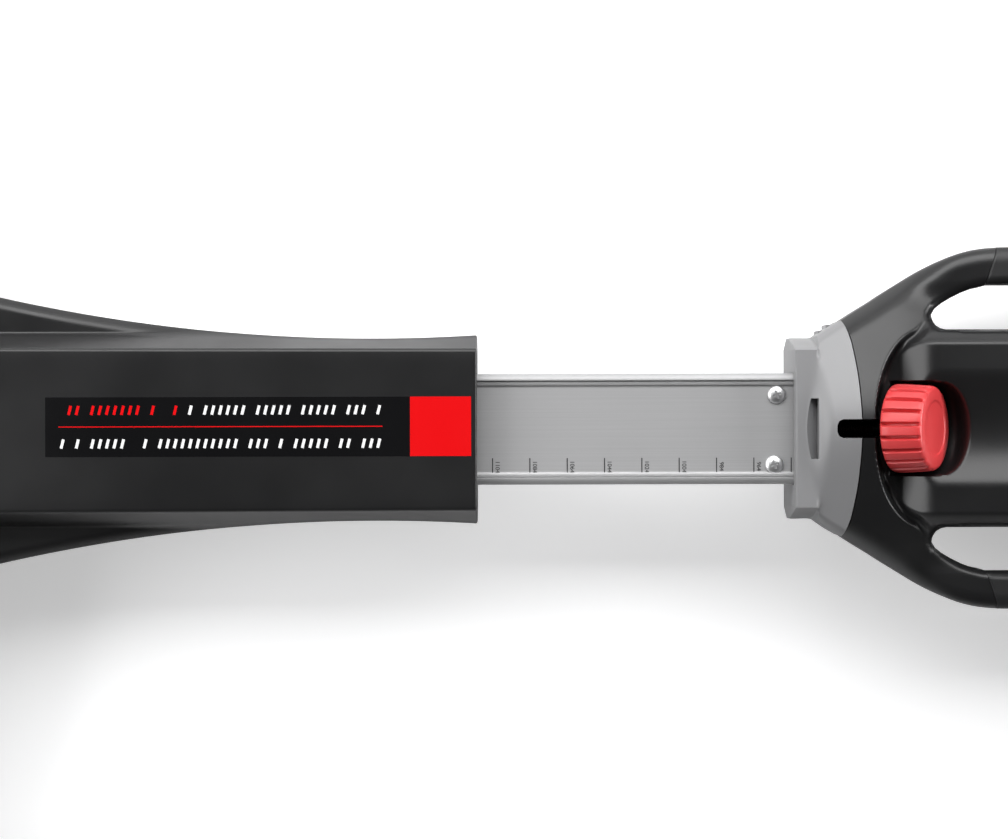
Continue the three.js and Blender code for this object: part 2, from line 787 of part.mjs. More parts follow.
function armOutline(rootX, noseX, drop) {
  const toward = Math.sign(noseX - rootX);
  const noseCentre = noseX - toward * armHalfHeight;
  const low = axleHeight - armHalfHeight;
  const bendX = rootX + toward * (armRootHeight + armHalfHeight / 2);
  const shape = new THREE.Shape();
  shape.moveTo(rootX, rearYokeTop - armRootHeight);
  if (drop) {
    shape.lineTo(bendX, low);
    shape.lineTo(rearMiddleX - crossHalfDepth - armDropRun, low);
    shape.lineTo(rearMiddleX - crossHalfDepth, bodyBottom);
    shape.lineTo(rearMiddleX + crossHalfDepth, bodyBottom);
    shape.lineTo(rearMiddleX + crossHalfDepth + armDropRun, low);
  }
  shape.lineTo(noseCentre, low);
  const clockwise = toward < 0;
  shape.absarc(noseCentre, axleHeight, armHalfHeight, -Math.PI / 2, Math.PI / 2, clockwise);
  shape.lineTo(bendX, axleHeight + armHalfHeight);
  shape.lineTo(rootX, rearYokeTop);
  shape.closePath();
  return shape;
}

const frontArmRootX = yokeFrontX + yokeDepth;
const rearArmRootX = rearYokeBackX - rearYokeDepth;
const armBevel = 2;
const arms = [
  ['front_arm', armOutline(frontArmRootX, -overallLength / 2, false), [frontAxleX]],
  ['rear_arm', armOutline(rearArmRootX, overallLength / 2, true), [driveAxleX, backAxleX]],
];
for (const [name, outline, axles] of arms) {
  const holes = axles.map((x) => cylinderY(axleRadius + gap, 0, armInnerY + armThickness + overrun, x, axleHeight));
  const arm = cut(sidePlate(outline, armInnerY, armInnerY + armThickness, armBevel), ...holes);
  addPiece(`${name}_left`, arm, aluminium);
  addPiece(`${name}_right`, arm.mirror([0, 1, 0]), aluminium);
}

// Cross member between the two rear drums, carried by the rear arms
const crossHalfLength = armInnerY - gap;
const crossLip = 6;
const crossShape = new THREE.Shape();
crossShape.moveTo(rearMiddleX - crossHalfDepth, bodyBottom);
crossShape.lineTo(rearMiddleX + crossHalfDepth, bodyBottom);
crossShape.lineTo(rearMiddleX + crossHalfDepth, bodyBottom + crossLip);
crossShape.lineTo(rearMiddleX + crossHalfDepth / 2, bodyBottom + crossHeight);
crossShape.lineTo(rearMiddleX - crossHalfDepth / 2, bodyBottom + crossHeight);
crossShape.lineTo(rearMiddleX - crossHalfDepth, bodyBottom + crossLip);
crossShape.closePath();
addPiece('rear_cross_member', sidePlate(crossShape, -crossHalfLength, crossHalfLength), aluminium);

// Drums with end caps and bearings on fixed axles
const capThickness = 10;
const capHubRadius = 18;
const capWeb = 4;
const capRimWall = 4;
const capInset = 2;
const drumSides = 24;
const taperShares = [-0.8, -0.45, 0, 0.45, 0.8];

function drumProfile() {
  const half = drumLength / 2;
  const trackStart = beltTrackInset - half;
  const trackEnd = trackStart + beltWidth + 2 * beltSideGap;
  const track = drumEndRadius - beltTrackDepth;
  const outside = [
    [drumEndRadius, -half],
    [drumEndRadius, trackStart],
    [track, trackStart],
    [track, trackEnd],
    [drumEndRadius, trackEnd],
  ];
  for (const share of taperShares) {
    const radius = drumWaistRadius + (drumEndRadius - drumWaistRadius) * share ** 2;
    outside.push([radius, share * (half + trackStart - trackEnd)]);
  }
  outside.push([drumEndRadius, half - beltWidth]);
  outside.push([drumEndRadius, half]);
  const seat = drumEndRadius - beltTrackDepth - drumWall;
  const bore = drumWaistRadius - drumWall;
  const inside = [
    [seat, half],
    [seat, half - 2 * capThickness],
    [bore, half - 4 * capThickness],
    [bore, 4 * capThickness - half],
    [seat, 2 * capThickness - half],
    [seat, -half],
  ];
  return [...outside, ...inside];
}

function capProfile() {
  const outer = drumEndRadius - beltTrackDepth - drumWall - gap;
  const bore = bearingOuterRadius + gap;
  return [
    [outer, 0],
    [outer, capThickness],
    [outer - capRimWall, capThickness],
    [outer - capRimWall, capWeb],
    [capHubRadius, capWeb],
    [capHubRadius, capThickness],
    [bore, capThickness],
    [bore, 0],
  ];
}

const drumPlaces = [['front', frontAxleX], ['drive', driveAxleX], ['back', backAxleX]];
for (const [name, x] of drumPlaces) {
  addPiece(`${name}_drum`, turnedY(drumProfile(), x, 0, axleHeight, drumSides), drumMetal);
  for (const [side, sign] of [['left', 1], ['right', -1]]) {
    const capY = sign * (drumLength / 2 - capInset - capThickness);
    const cap = turnedY(capProfile(), x, 0, axleHeight, drumSides);
    const placedCap = sign > 0 ? cap.translate([0, capY, 0]) : cap.mirror([0, 1, 0]).translate([0, capY, 0]);
    addPiece(`${name}_drum_cap_${side}`, placedCap, blackPlastic);
    const bearingY = sign * (drumLength / 2 - capInset - capThickness / 2);
    const bearingProfile = [
      [axleRadius + gap, -bearingWidth / 2],
      [bearingOuterRadius, -bearingWidth / 2],
      [bearingOuterRadius, bearingWidth / 2],
      [axleRadius + gap, bearingWidth / 2],
    ];
    addPiece(`${name}_bearing_${side}`, turnedY(bearingProfile, x, bearingY, axleHeight, 16), steel);
  }
  const armOuterY = armInnerY + armThickness;
  const axle = join(
    cylinderY(axleRadius, -armOuterY - gap - headHeight / 2, armOuterY + gap + headHeight, x, axleHeight, 16),
    cylinderY(headRadius, -armOuterY - gap - headHeight, -armOuterY - gap, x, axleHeight, 6),
  );
  addPiece(`${name}_axle`, axle, steel);
  const nut = cut(
    cylinderY(headRadius, armOuterY + gap, armOuterY + gap + headHeight, x, axleHeight, 6),
    cylinderY(axleRadius + gap, armOuterY - overrun, armOuterY + overrun, x, axleHeight, 16),
  );
  addPiece(`${name}_axle_nut`, nut, steel);
}

// Drive belt round the first rear drum and the front drum
const beltRadius = drumEndRadius - beltTrackDepth + gap;
const beltY = beltTrackInset + beltSideGap - drumLength / 2;

function beltOutline(radius) {
  const path = new THREE.Shape();
  path.absarc(frontAxleX, axleHeight, radius, Math.PI / 2, 1.5 * Math.PI, false);
  path.absarc(driveAxleX, axleHeight, radius, -Math.PI / 2, Math.PI / 2, false);
  path.closePath();
  return path;
}

const beltShape = beltOutline(beltRadius + beltThickness);
beltShape.holes.push(beltOutline(beltRadius));
addPiece('drive_belt', sidePlate(beltShape, beltY, beltY + beltWidth), rubber);

// Feet: floor bars with wheels that the frame rolls on
const footHalfDepth = 39;
const footHalfLength = 200;
const padHeight = 6;
const footBarTop = 18;
const wheelRadius = 12;
const wheelWidth = 12;
const wheelBoreRadius = 2.8;
const wheelPinRadius = 2.5;
const cheekWidth = 5;
const cheekHalf = 14;
const cheekTop = 30;
const wheelY = 150;
const padLength = 60;
const padInset = 10;
const padMargin = 2;
const wheelHeight = bodyBottom - gap - wheelRadius;
const wheelSideGap = 0.6;
const footPlaces = [['front', yokeFrontX + footHalfDepth], ['rear', rearMiddleX]];

for (const [name, x] of footPlaces) {
  let bar = plate(rectangle(x - footHalfDepth, x + footHalfDepth, -footHalfLength, footHalfLength, padInset),
    padHeight, footBarTop, armBevel);
  for (const sign of [1, -1]) {
    const y = sign * wheelY;
    const cheekOuter = wheelWidth / 2 + wheelSideGap + cheekWidth;
    const block = box(x - cheekHalf, x + cheekHalf, y - cheekOuter, y + cheekOuter, padHeight + gap, cheekTop);
    const pocket = box(x - cheekHalf, x + cheekHalf, y - wheelWidth / 2 - wheelSideGap,
      y + wheelWidth / 2 + wheelSideGap, wheelHeight - wheelRadius - wheelSideGap, cheekTop + overrun);
    const pinHole = cylinderY(wheelPinRadius + gap, y - overrun, y + overrun, x, wheelHeight, 16);
    bar = cut(join(bar, block), pocket, pinHole);
  }
  addPiece(`${name}_foot`, bar, blackPlastic);
  for (const [side, sign] of [['left', 1], ['right', -1]]) {
    const y = sign * wheelY;
    const pinHalf = wheelWidth / 2 + wheelSideGap + cheekWidth;
    addPiece(`${name}_wheel_${side}`, cut(
      cylinderY(wheelRadius, y - wheelWidth / 2, y + wheelWidth / 2, x, wheelHeight, 24),
      cylinderY(wheelBoreRadius, y - overrun, y + overrun, x, wheelHeight, 16),
    ), greyPlastic);
    addPiece(`${name}_wheel_pin_${side}`,
      cylinderY(wheelPinRadius, y - pinHalf, y + pinHalf, x, wheelHeight, 16), steel);
    const padY = sign * (footHalfLength - padInset - padLength / 2);
    addPiece(`${name}_pad_${side}`, plate(
      rectangle(x - footHalfDepth + padMargin, x + footHalfDepth - padMargin, padY - padLength / 2,
        padY + padLength / 2, padInset),
      0,
      padHeight - gap,
    ), rubber);
  }
}

export default rollers;
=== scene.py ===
# Bike rollers: the visual model, in metres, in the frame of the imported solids.
import math
import bpy
import bmesh
from mathutils import Matrix, Vector


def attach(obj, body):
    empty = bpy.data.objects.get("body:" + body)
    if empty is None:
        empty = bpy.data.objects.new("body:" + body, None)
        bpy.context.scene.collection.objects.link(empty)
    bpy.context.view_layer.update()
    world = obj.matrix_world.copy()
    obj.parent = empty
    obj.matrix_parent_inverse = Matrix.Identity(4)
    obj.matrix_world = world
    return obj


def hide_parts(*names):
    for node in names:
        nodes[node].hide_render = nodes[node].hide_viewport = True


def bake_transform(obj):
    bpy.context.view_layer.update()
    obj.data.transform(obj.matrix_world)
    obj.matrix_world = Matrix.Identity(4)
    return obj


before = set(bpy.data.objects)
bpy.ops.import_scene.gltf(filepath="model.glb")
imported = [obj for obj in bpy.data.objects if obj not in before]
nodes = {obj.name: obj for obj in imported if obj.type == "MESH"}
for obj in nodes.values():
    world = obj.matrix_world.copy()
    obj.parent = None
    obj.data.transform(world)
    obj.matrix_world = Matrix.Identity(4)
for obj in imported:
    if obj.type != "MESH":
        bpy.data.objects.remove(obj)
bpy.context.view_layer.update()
mm = 0.001

# Studio: a white floor under plain soft light, seen from straight above the rail.
# The camera stands 1.38 m up, so the frame's end faces show a little towards its middle.
camera_place = Vector((-0.1235, 0.0053, 1.382))
camera_roll = -0.0026
camera_data = bpy.data.cameras.new("camera")
camera_data.lens = 86.6
camera_data.sensor_fit = "HORIZONTAL"
camera_data.sensor_width = 36


def in_scene(name, data):
    """A new object in the scene, at the origin."""
    piece = bpy.data.objects.new(name, data)
    bpy.context.scene.collection.objects.link(piece)
    return piece


camera = in_scene("camera", camera_data)
camera.location = camera_place
camera.rotation_euler = (0, 0, camera_roll)
bpy.context.scene.camera = camera
bpy.context.scene.view_settings.view_transform = "Standard"


def softbox(name, place, target, width, height, radiance):
    """A rectangular lamp aimed at a point, with its brightness as radiance."""
    lamp = bpy.data.lights.new(name, "AREA")
    lamp.shape = "RECTANGLE"
    lamp.size = width
    lamp.size_y = height
    lamp.energy = radiance * math.pi * width * height
    lamp_object = in_scene(name, lamp)
    aim = Vector(target) - Vector(place)
    lamp_object.location = place
    lamp_object.rotation_euler = aim.to_track_quat("-Z", "Y").to_euler()


middle = (-0.12, 0.0, 0.07)
softbox("key_softbox", (-0.12, 1.2, 1.25), middle, 3.0, 1.0, 5.0)
softbox("front_softbox", (-1.5, 0.1, 0.9), middle, 1.5, 0.8, 4.4)
softbox("back_softbox", (1.6, 0.2, 0.5), middle, 1.2, 0.6, 12.0)
softbox("side_softbox", (-0.12, 1.9, 0.5), middle, 3.0, 0.5, 1.6)


def new_node(tree, kind, values=None, **settings):
    """A node with its settings and the plain values of its inputs."""
    node = tree.nodes.new(kind)
    for label, value in settings.items():
        setattr(node, label, value)
    for label, value in (values or {}).items():
        node.inputs[label].default_value = value
    return node


def wire(tree, *links):
    """Joins sockets: each link names a node and its output, then a node and its input."""
    for source, output, target, socket in links:
        tree.links.new(source.outputs[output], target.inputs[socket])


world = bpy.data.worlds.new("studio_air")
world.use_nodes = True
bpy.context.scene.world = world
air = world.node_tree
background = air.nodes["Background"]
background.inputs["Strength"].default_value = 1.0
light_path = new_node(air, "ShaderNodeLightPath")
direction = new_node(air, "ShaderNodeTexCoord")
split = new_node(air, "ShaderNodeSeparateXYZ")
horizon = new_node(air, "ShaderNodeMapRange", interpolation_type="SMOOTHSTEP",
                   values={"From Min": 0.15, "From Max": 0.6, "To Min": 0.35, "To Max": 0.06})
seen_through = new_node(air, "ShaderNodeMath", operation="ADD")
mirrored = new_node(air, "ShaderNodeMix", data_type="RGBA")
mirrored.inputs["A"].default_value = (0.1, 0.1, 0.102, 1)
air_mix = new_node(air, "ShaderNodeMix", data_type="RGBA")
air_mix.inputs["B"].default_value = (1, 1, 1, 1)
wire(air, (direction, "Generated", split, "Vector"), (split, "Z", horizon, "Value"),
     (horizon, "Result", mirrored, "B"), (light_path, "Is Glossy Ray", mirrored, "Factor"),
     (light_path, "Is Camera Ray", seen_through, 0), (light_path, "Is Transmission Ray", seen_through, 1),
     (seen_through, "Value", air_mix, "Factor"), (mirrored, "Result", air_mix, "A"),
     (air_mix, "Result", background, "Color"))

floor_half = 6.0
floor_mesh = bpy.data.meshes.new("floor")
floor_corners = [(-floor_half, -floor_half, 0), (floor_half, -floor_half, 0),
                 (floor_half, floor_half, 0), (-floor_half, floor_half, 0)]
floor_mesh.from_pydata(floor_corners, [], [(0, 1, 2, 3)])
floor = in_scene("floor", floor_mesh)

floor_look = bpy.data.materials.new("white_floor")
floor_look.use_nodes = True
floor_tree = floor_look.node_tree
floor_shader = floor_tree.nodes["Principled BSDF"]
floor_shader.inputs["Base Color"].default_value = (0.86, 0.86, 0.865, 1)
floor_shader.inputs["Roughness"].default_value = 0.75
floor_shader.inputs["Emission Color"].default_value = (1, 1, 1, 1)
floor_path = new_node(floor_tree, "ShaderNodeLightPath")
floor_seen = new_node(floor_tree, "ShaderNodeMath", operation="ADD")
floor_lift = new_node(floor_tree, "ShaderNodeMath", {1: 0.4}, operation="MULTIPLY")
wire(floor_tree, (floor_path, "Is Camera Ray", floor_seen, 0),
     (floor_path, "Is Transmission Ray", floor_seen, 1), (floor_seen, "Value", floor_lift, 0),
     (floor_lift, "Value", floor_shader, "Emission Strength"))
floor_mesh.materials.append(floor_look)


# Rear body: one black injection moulding with a fine matt grain. It carries the knob's seat,
# runs out into two carrying handles round the hand openings, and ends in the yoke of the rear arms.
def group_tree(name, inputs, outputs):
    """An empty shader group with its named sockets, and its two end nodes."""
    tree = bpy.data.node_groups.new(name, "ShaderNodeTree")
    for label, kind, value in inputs:
        socket = tree.interface.new_socket(name=label, in_out="INPUT", socket_type=kind)
        if value is not None:
            socket.default_value = value
    for label, kind in outputs:
        tree.interface.new_socket(name=label, in_out="OUTPUT", socket_type=kind)
    start = tree.nodes.new("NodeGroupInput")
    end = tree.nodes.new("NodeGroupOutput")
    return tree, start, end


def grain_group():
    """Moulded grain: small rounded pits over wide soft patches of polish."""
    tree, start, end = group_tree(
        "moulded_grain",
        [("Vector", "NodeSocketVector", None), ("Pits per Metre", "NodeSocketFloat", 900.0),
         ("Patches per Metre", "NodeSocketFloat", 14.0)],
        [("Height", "NodeSocketFloat"), ("Patches", "NodeSocketFloat")])
    pits = new_node(tree, "ShaderNodeTexVoronoi", feature="SMOOTH_F1")
    grit = new_node(tree, "ShaderNodeTexNoise", {"Detail": 3})
    patches = new_node(tree, "ShaderNodeTexNoise", {"Detail": 4})
    blend = new_node(tree, "ShaderNodeMix", {"Factor": 0.5})
    for texture in (pits, grit, patches):
        wire(tree, (start, "Vector", texture, "Vector"))
    wire(tree, (start, "Pits per Metre", pits, "Scale"), (start, "Pits per Metre", grit, "Scale"),
         (start, "Patches per Metre", patches, "Scale"), (pits, "Distance", blend, "A"),
         (grit, "Fac", blend, "B"), (blend, "Result", end, "Height"), (patches, "Fac", end, "Patches"))
    return tree


def grained_look(name, effect, values, masks, tones, polish_range, relief):
    """A material whose tone, polish and relief follow the masks of one effect group."""
    look = bpy.data.materials.new(name)
    look.use_nodes = True
    tree = look.node_tree
    shader = tree.nodes["Principled BSDF"]
    tone_mask, polish_mask, height = masks
    dark, light = tones
    polish_low, polish_high = polish_range
    strength, depth = relief
    place = new_node(tree, "ShaderNodeTexCoord")
    grain = new_node(tree, "ShaderNodeGroup", node_tree=effect)
    for label, value in values.items():
        grain.inputs[label].default_value = value
    tone = new_node(tree, "ShaderNodeMix", data_type="RGBA")
    tone.inputs["A"].default_value = (*dark, 1)
    tone.inputs["B"].default_value = (*light, 1)
    polish = new_node(tree, "ShaderNodeMapRange",
                      {"From Min": 0.3, "From Max": 0.7, "To Min": polish_low, "To Max": polish_high})
    bump = new_node(tree, "ShaderNodeBump", {"Strength": strength, "Distance": depth})
    wire(tree, (place, "Object", grain, "Vector"), (grain, tone_mask, tone, "Factor"),
         (grain, polish_mask, polish, "Value"), (grain, height, bump, "Height"),
         (tone, "Result", shader, "Base Color"), (polish, "Result", shader, "Roughness"),
         (bump, "Normal", shader, "Normal"))
    return look


moulded_grain = grain_group()


def moulded_look(name, dark, light, roughness, pits_per_metre=900, depth=0.00006):
    """A moulded plastic or rubber: two close tones, a polish that varies, and grain."""
    return grained_look(name, moulded_grain, {"Pits per Metre": pits_per_metre},
                        ("Patches", "Patches", "Height"), (dark, light),
                        (roughness - 0.05, roughness + 0.06), (0.5, depth))


black_plastic = moulded_look("black_moulded_plastic", (0.007, 0.007, 0.0075), (0.011, 0.011, 0.0115), 0.34)


def smooth(value):
    """An even rise from 0 to 1 with soft ends."""
    held = min(1.0, max(0.0, value))
    return held * held * (3 - 2 * held)


def curve_value(points, x):
    """The smooth curve through (x, value) points, read at x."""
    if x <= points[0][0]:
        return points[0][1]
    for index in range(len(points) - 1):
        x0, y0 = points[index]
        x1, y1 = points[index + 1]
        if x <= x1:
            before = points[max(0, index - 1)]
            after = points[min(len(points) - 1, index + 2)]
            share = (x - x0) / (x1 - x0)
            slope0 = (y1 - before[1]) / (x1 - before[0]) * (x1 - x0)
            slope1 = (after[1] - y0) / (after[0] - x0) * (x1 - x0)
            square = share * share
            cube = square * share
            return ((2 * cube - 3 * square + 1) * y0 + (cube - 2 * square + share) * slope0
                    + (3 * square - 2 * cube) * y1 + (cube - square) * slope1)
    return points[-1][1]


def even_steps(start, end, count):
    """Places from start to end in equal steps, both ends included."""
    return [start + (end - start) * step / count for step in range(count + 1)]


weld = 0.002 * mm
side_weld = 0.01 * mm


def mesh_piece(name, points, faces, merge=weld):
    """A new mesh object, with its doubles merged and its faces turned outwards."""
    mesh = bpy.data.meshes.new(name)
    mesh.from_pydata(points, [], faces)
    shape = bmesh.new()
    shape.from_mesh(mesh)
    bmesh.ops.remove_doubles(shape, verts=shape.verts, dist=merge)
    bmesh.ops.recalc_face_normals(shape, faces=shape.faces)
    shape.to_mesh(mesh)
    shape.free()
    return in_scene(name, mesh)


def moulding(name, columns, lanes, top_point, wall_top, low_point):
    """A closed moulding: a grid for its top, one for its underside, and walls between them."""
    count = len(lanes)
    points = [top_point(x, lane) for x in columns for lane in lanes]
    rim = [(0, row) for row in range(count)]
    rim += [(column, count - 1) for column in range(1, len(columns))]
    rim += [(len(columns) - 1, row) for row in range(count - 2, -1, -1)]
    rim += [(column, 0) for column in range(len(columns) - 2, 0, -1)]
    rings = [[column * count + row for column, row in rim]]
    if wall_top is not None:
        rings.append([len(points) + index for index in range(len(rim))])
        for column, row in rim:
            x, y, z = top_point(columns[column], lanes[row])
            points.append((x, y, min(z, wall_top)))
    low_start = len(points)
    points += [low_point(x, lane) for x in columns for lane in lanes]
    rings.append([low_start + column * count + row for column, row in rim])
    faces = []
    for column in range(len(columns) - 1):
        for row in range(count - 1):
            a = column * count + row
            b = a + count
            faces.append((a, b, b + 1, a + 1))
            faces.append((low_start + a, low_start + a + 1, low_start + b + 1, low_start + b))
    for upper, lower in zip(rings[:-1], rings[1:]):
        for index in range(len(rim)):
            after = (index + 1) % len(rim)
            faces.append((upper[index], upper[after], lower[after], lower[index]))
    return mesh_piece(name, points, faces)


def skin(name, points, count, merge=weld):
    """A closed tube through rings of so many points each, with a face over both ends."""
    last = len(points) - count
    faces = [tuple(range(count)), tuple(range(last + count - 1, last - 1, -1))]
    for start in range(0, last, count):
        for index in range(count):
            after = (index + 1) % count
            faces.append((start + index, start + count + index, start + count + after, start + after))
    return mesh_piece(name, points, faces, merge)


def prism(name, outline, low, high):
    """A closed outline in plan, carried from one height to another."""
    return skin(name, [(x, y, z) for z in (low, high) for x, y in outline], len(outline))


def side_prism(name, outline, y0, y1):
    """A closed outline in side view, given as X and Z, carried from one Y to another."""
    return skin(name, [(x, y, z) for y in (y0, y1) for x, z in outline], len(outline), side_weld)


def half_round(x, z, radius, start, steps=16):
    """Half a circle in side view, from a starting angle onwards."""
    turns = [math.radians(start + 180 * step / steps) for step in range(steps + 1)]
    return [(x + radius * math.cos(turn), z + radius * math.sin(turn)) for turn in turns]


def full_round(x, z, radius, steps=16):
    """A whole circle in side view, as two halves."""
    return half_round(x, z, radius, 0, steps) + half_round(x, z, radius, 180, steps)[1:-1]


def block(name, x0, x1, y0, y1, z0, z1):
    """A plain block by its limits."""
    return prism(name, [(x0, y0), (x1, y0), (x1, y1), (x0, y1)], z0, z1)


def carve(piece, cutters, operation="DIFFERENCE"):
    """Cuts or joins shapes with exact booleans, and removes the tools."""
    for cutter in cutters:
        boolean = piece.modifiers.new("carve", "BOOLEAN")
        boolean.operation = operation
        boolean.solver = "EXACT"
        boolean.object = cutter
    applied(piece)
    for cutter in cutters:
        bpy.data.objects.remove(cutter)


def applied(piece):
    """Turns a piece with its modifiers into a plain mesh."""
    graph = bpy.context.evaluated_depsgraph_get()
    mesh = bpy.data.meshes.new_from_object(piece.evaluated_get(graph))
    piece.modifiers.clear()
    piece.data = mesh


def finish_faces(piece, look, angle=35):
    """Soft shading up to an angle, and one material."""
    piece.data.materials.clear()
    piece.data.materials.append(look)
    for face in piece.data.polygons:
        face.use_smooth = True
        face.material_index = 0
    piece.data.set_sharp_from_angle(angle=math.radians(angle))


def in_metres(points):
    """Pairs of millimetres as metres."""
    return [(x * mm, y * mm) for x, y in points]


body_bottom = 35 * mm
joint_x = 65.9 * mm
joint_line = in_metres([(0, 65.9), (15, 65.5), (30, 64.5), (46, 62.1), (52, 60.4), (57.2, 58.2), (62, 55.6),
                        (70, 50.5)])
joint_gap = 0.6 * mm
joint_fade = 40 * mm
rear_core = 50 * mm
rear_back_x = 298 * mm
rear_wall_top = 52 * mm
rear_outline = in_metres([
    (54, 55.6), (64.3, 62.2), (75.2, 68.7), (80.6, 72.2), (91.5, 78.9), (102.3, 85.4), (113.2, 90.8),
    (124.1, 95), (134.9, 97.3), (149.9, 98.3), (214.9, 98.3), (225.1, 111.4), (232.4, 145.9), (240.2, 194.4),
    (252, 249.7), (298, 249.7)])
ridge_top = 100.5 * mm
ridge_radius = 13 * mm
roof_slope = 0.4
roof_rim = 16 * mm
roof_rim_drop = 9 * mm
handle_top = 70 * mm
handle_bottom = 44 * mm
handle_round = 9 * mm
handle_edge_drop = 6 * mm
handle_start_x = 84 * mm
handle_rise = 38 * mm
handle_start_away = 60 * mm
handle_spread = 20 * mm
handle_nose_run = 30 * mm
beam_top = 92 * mm
beam_edge = 44.5 * mm
beam_flank_slope = 1.3
beam_round = 2.8 * mm
beam_camber = 1 * mm
yoke_half = 249.7 * mm
yoke_top = 90 * mm
yoke_round = 5 * mm
yoke_start_x = 212 * mm
yoke_run = 30 * mm
basin_centre_x = 103.5 * mm
basin_reach = 28.5 * mm
basin_half = 50 * mm
basin_spread = 6 * mm
basin_spread_x = 96 * mm
basin_spread_run = 12 * mm
basin_depth = 13 * mm
basin_edge = 5 * mm
valley_depth = 2.4 * mm
valley_fade = 10 * mm
ramp_start_x = 83 * mm
ramp_end_x = 109 * mm
trough_half = 28.8 * mm
trough_depth = 8.5 * mm
trough_start_x = 84 * mm
trough_start_run = 16 * mm
trough_end_x = 238 * mm
trough_end_run = 50 * mm
clamp_x = 86.2 * mm
clamp_height = 80.5 * mm
clamp_tilt = math.radians(30)
knob_pocket_radius = 25.2 * mm
knob_pocket_edge = 2 * mm
knob_pocket_end_x = 108.4 * mm
knob_pocket_rise = 10 * mm
knob_pocket_run = 6 * mm
cut_round = 2.2 * mm
cut_half = 34 * mm
cut_start_x = 80 * mm
seat_x = 83.4 * mm
seat_height = 79.5 * mm
seat_slope = 1.732
seat_floor = 60 * mm
opening_nose_x = 107.8 * mm
opening_outline = in_metres([
    (107.8, 61.5), (108.2, 58.4), (109.4, 55.6), (111.4, 53.9), (114.2, 53.2), (120, 53.2), (135, 53.2),
    (150, 53.2), (180, 53.2), (215, 53.2), (222, 54.6), (226.4, 58.6), (227.9, 65.7), (226.4, 72.9),
    (222, 76.9), (215, 78.3), (190, 78.3), (165, 78.3), (150, 78.2), (142, 77.9), (134.9, 76.8),
    (129, 75.2), (124.1, 73.3), (118.5, 70.5), (113.6, 67.6), (110, 64.8)])
roll_width = 4.5 * mm
roll_drop = 3.2 * mm
roll_start = 52 * mm


def opening_distance(x, y):
    """How far a point of the rear body lies from the edge of the hand opening on its side."""
    y = abs(y)
    best = 1.0
    inside = False
    for index, (x0, y0) in enumerate(opening_outline):
        x1, y1 = opening_outline[(index + 1) % len(opening_outline)]
        run_x = x1 - x0
        run_y = y1 - y0
        share = ((x - x0) * run_x + (y - y0) * run_y) / (run_x * run_x + run_y * run_y)
        share = min(1.0, max(0.0, share))
        best = min(best, math.hypot(x - x0 - share * run_x, y - y0 - share * run_y))
        if (y0 > y) != (y1 > y) and x < x0 + (y - y0) / (y1 - y0) * run_x:
            inside = not inside
    return 0.0 if inside else best


def roof_height(crest, away):
    """A roof over the middle: a rounded ridge and two even slopes."""
    return crest - roof_slope * (math.hypot(away, ridge_radius) - ridge_radius)


def edge_round(distance, radius, drop):
    """How far a rounded edge falls, near the edge."""
    near = min(1.0, max(0.0, 1 - distance / radius))
    return drop * (1 - math.sqrt(1 - near * near))


def soft_lowest(first, second, width):
    """The lower of two heights, with a rounded edge where they meet."""
    near = max(0.0, 1 - abs(first - second) / width)
    return min(first, second) - near * near * width / 4


def trough_level(x, away, beam):
    """The trough in the beam: a long shallow bowl that the knob's round, tilted pocket runs into."""
    bowl = trough_depth * (1 - (away / trough_half) ** 2)
    bowl *= smooth((trough_end_x - x) / trough_end_run) * smooth((x - trough_start_x) / trough_start_run)
    if away >= knob_pocket_radius:
        return beam - bowl
    under = math.sqrt(knob_pocket_radius ** 2 - away ** 2)
    pocket = clamp_height + (x - clamp_x) * math.tan(clamp_tilt) - under / math.cos(clamp_tilt)
    past_end = x - knob_pocket_end_x - under * math.sin(clamp_tilt)
    pocket += knob_pocket_rise * smooth(past_end / knob_pocket_run)
    return soft_lowest(beam - bowl, pocket, knob_pocket_edge)


def rear_surface(x, y):
    """Height of the rear body's upper face."""
    half = curve_value(rear_outline, x)
    away = abs(y)
    outer = half - away
    crest_share = min(1.0, max(0.0, (x - joint_x) / (opening_nose_x - joint_x)))
    roof = roof_height(ridge_top - (ridge_top - beam_top) * crest_share ** 1.5, away)
    if outer < roof_rim:
        roof -= roof_rim_drop * (1 - outer / roof_rim) ** 3
    handle_share = smooth((x - handle_start_x) / handle_rise)
    handle_share *= smooth((away - handle_start_away) / handle_spread)
    if x > opening_nose_x:
        handle_share = max(handle_share, smooth((x - opening_nose_x) / handle_nose_run))
    handle = handle_top - edge_round(outer, handle_round, handle_edge_drop)
    outside = roof * (1 - handle_share) + handle * handle_share
    beam = beam_top - beam_camber * (away / beam_edge) ** 2
    flank = max(0.0, away - beam_edge)
    beam -= beam_flank_slope * (math.hypot(flank, beam_round) - beam_round)
    yoke_share = smooth((x - yoke_start_x) / yoke_run)
    level = yoke_top - edge_round(outer, yoke_round, yoke_round)
    basin_side = basin_half + basin_spread * smooth((x - basin_spread_x) / basin_spread_run)
    reach = math.hypot(min(0.0, x - basin_centre_x) / basin_reach, away / basin_side)
    inside = smooth((1 - reach) * basin_reach / basin_edge + 0.5)
    rise = smooth((x - ramp_start_x) / (ramp_end_x - ramp_start_x))
    floor_level = beam - basin_depth * (1 - rise)
    valley = 4 * inside * (1 - inside) * (1 - smooth((x - basin_spread_x) / valley_fade))
    height = outside * (1 - inside) + floor_level * inside - valley_depth * valley
    seat = max(seat_height - seat_slope * (x - seat_x), seat_floor)
    cut = max(seat, trough_level(x, away, beam))
    if away < cut_half and x > cut_start_x:
        height = soft_lowest(height, cut, cut_round)
    height = height * (1 - yoke_share) + level * yoke_share
    near = opening_distance(x, y)
    if near < roll_width and away > roll_start:
        height -= roll_drop * (1 - near / roll_width) ** 2
    return height


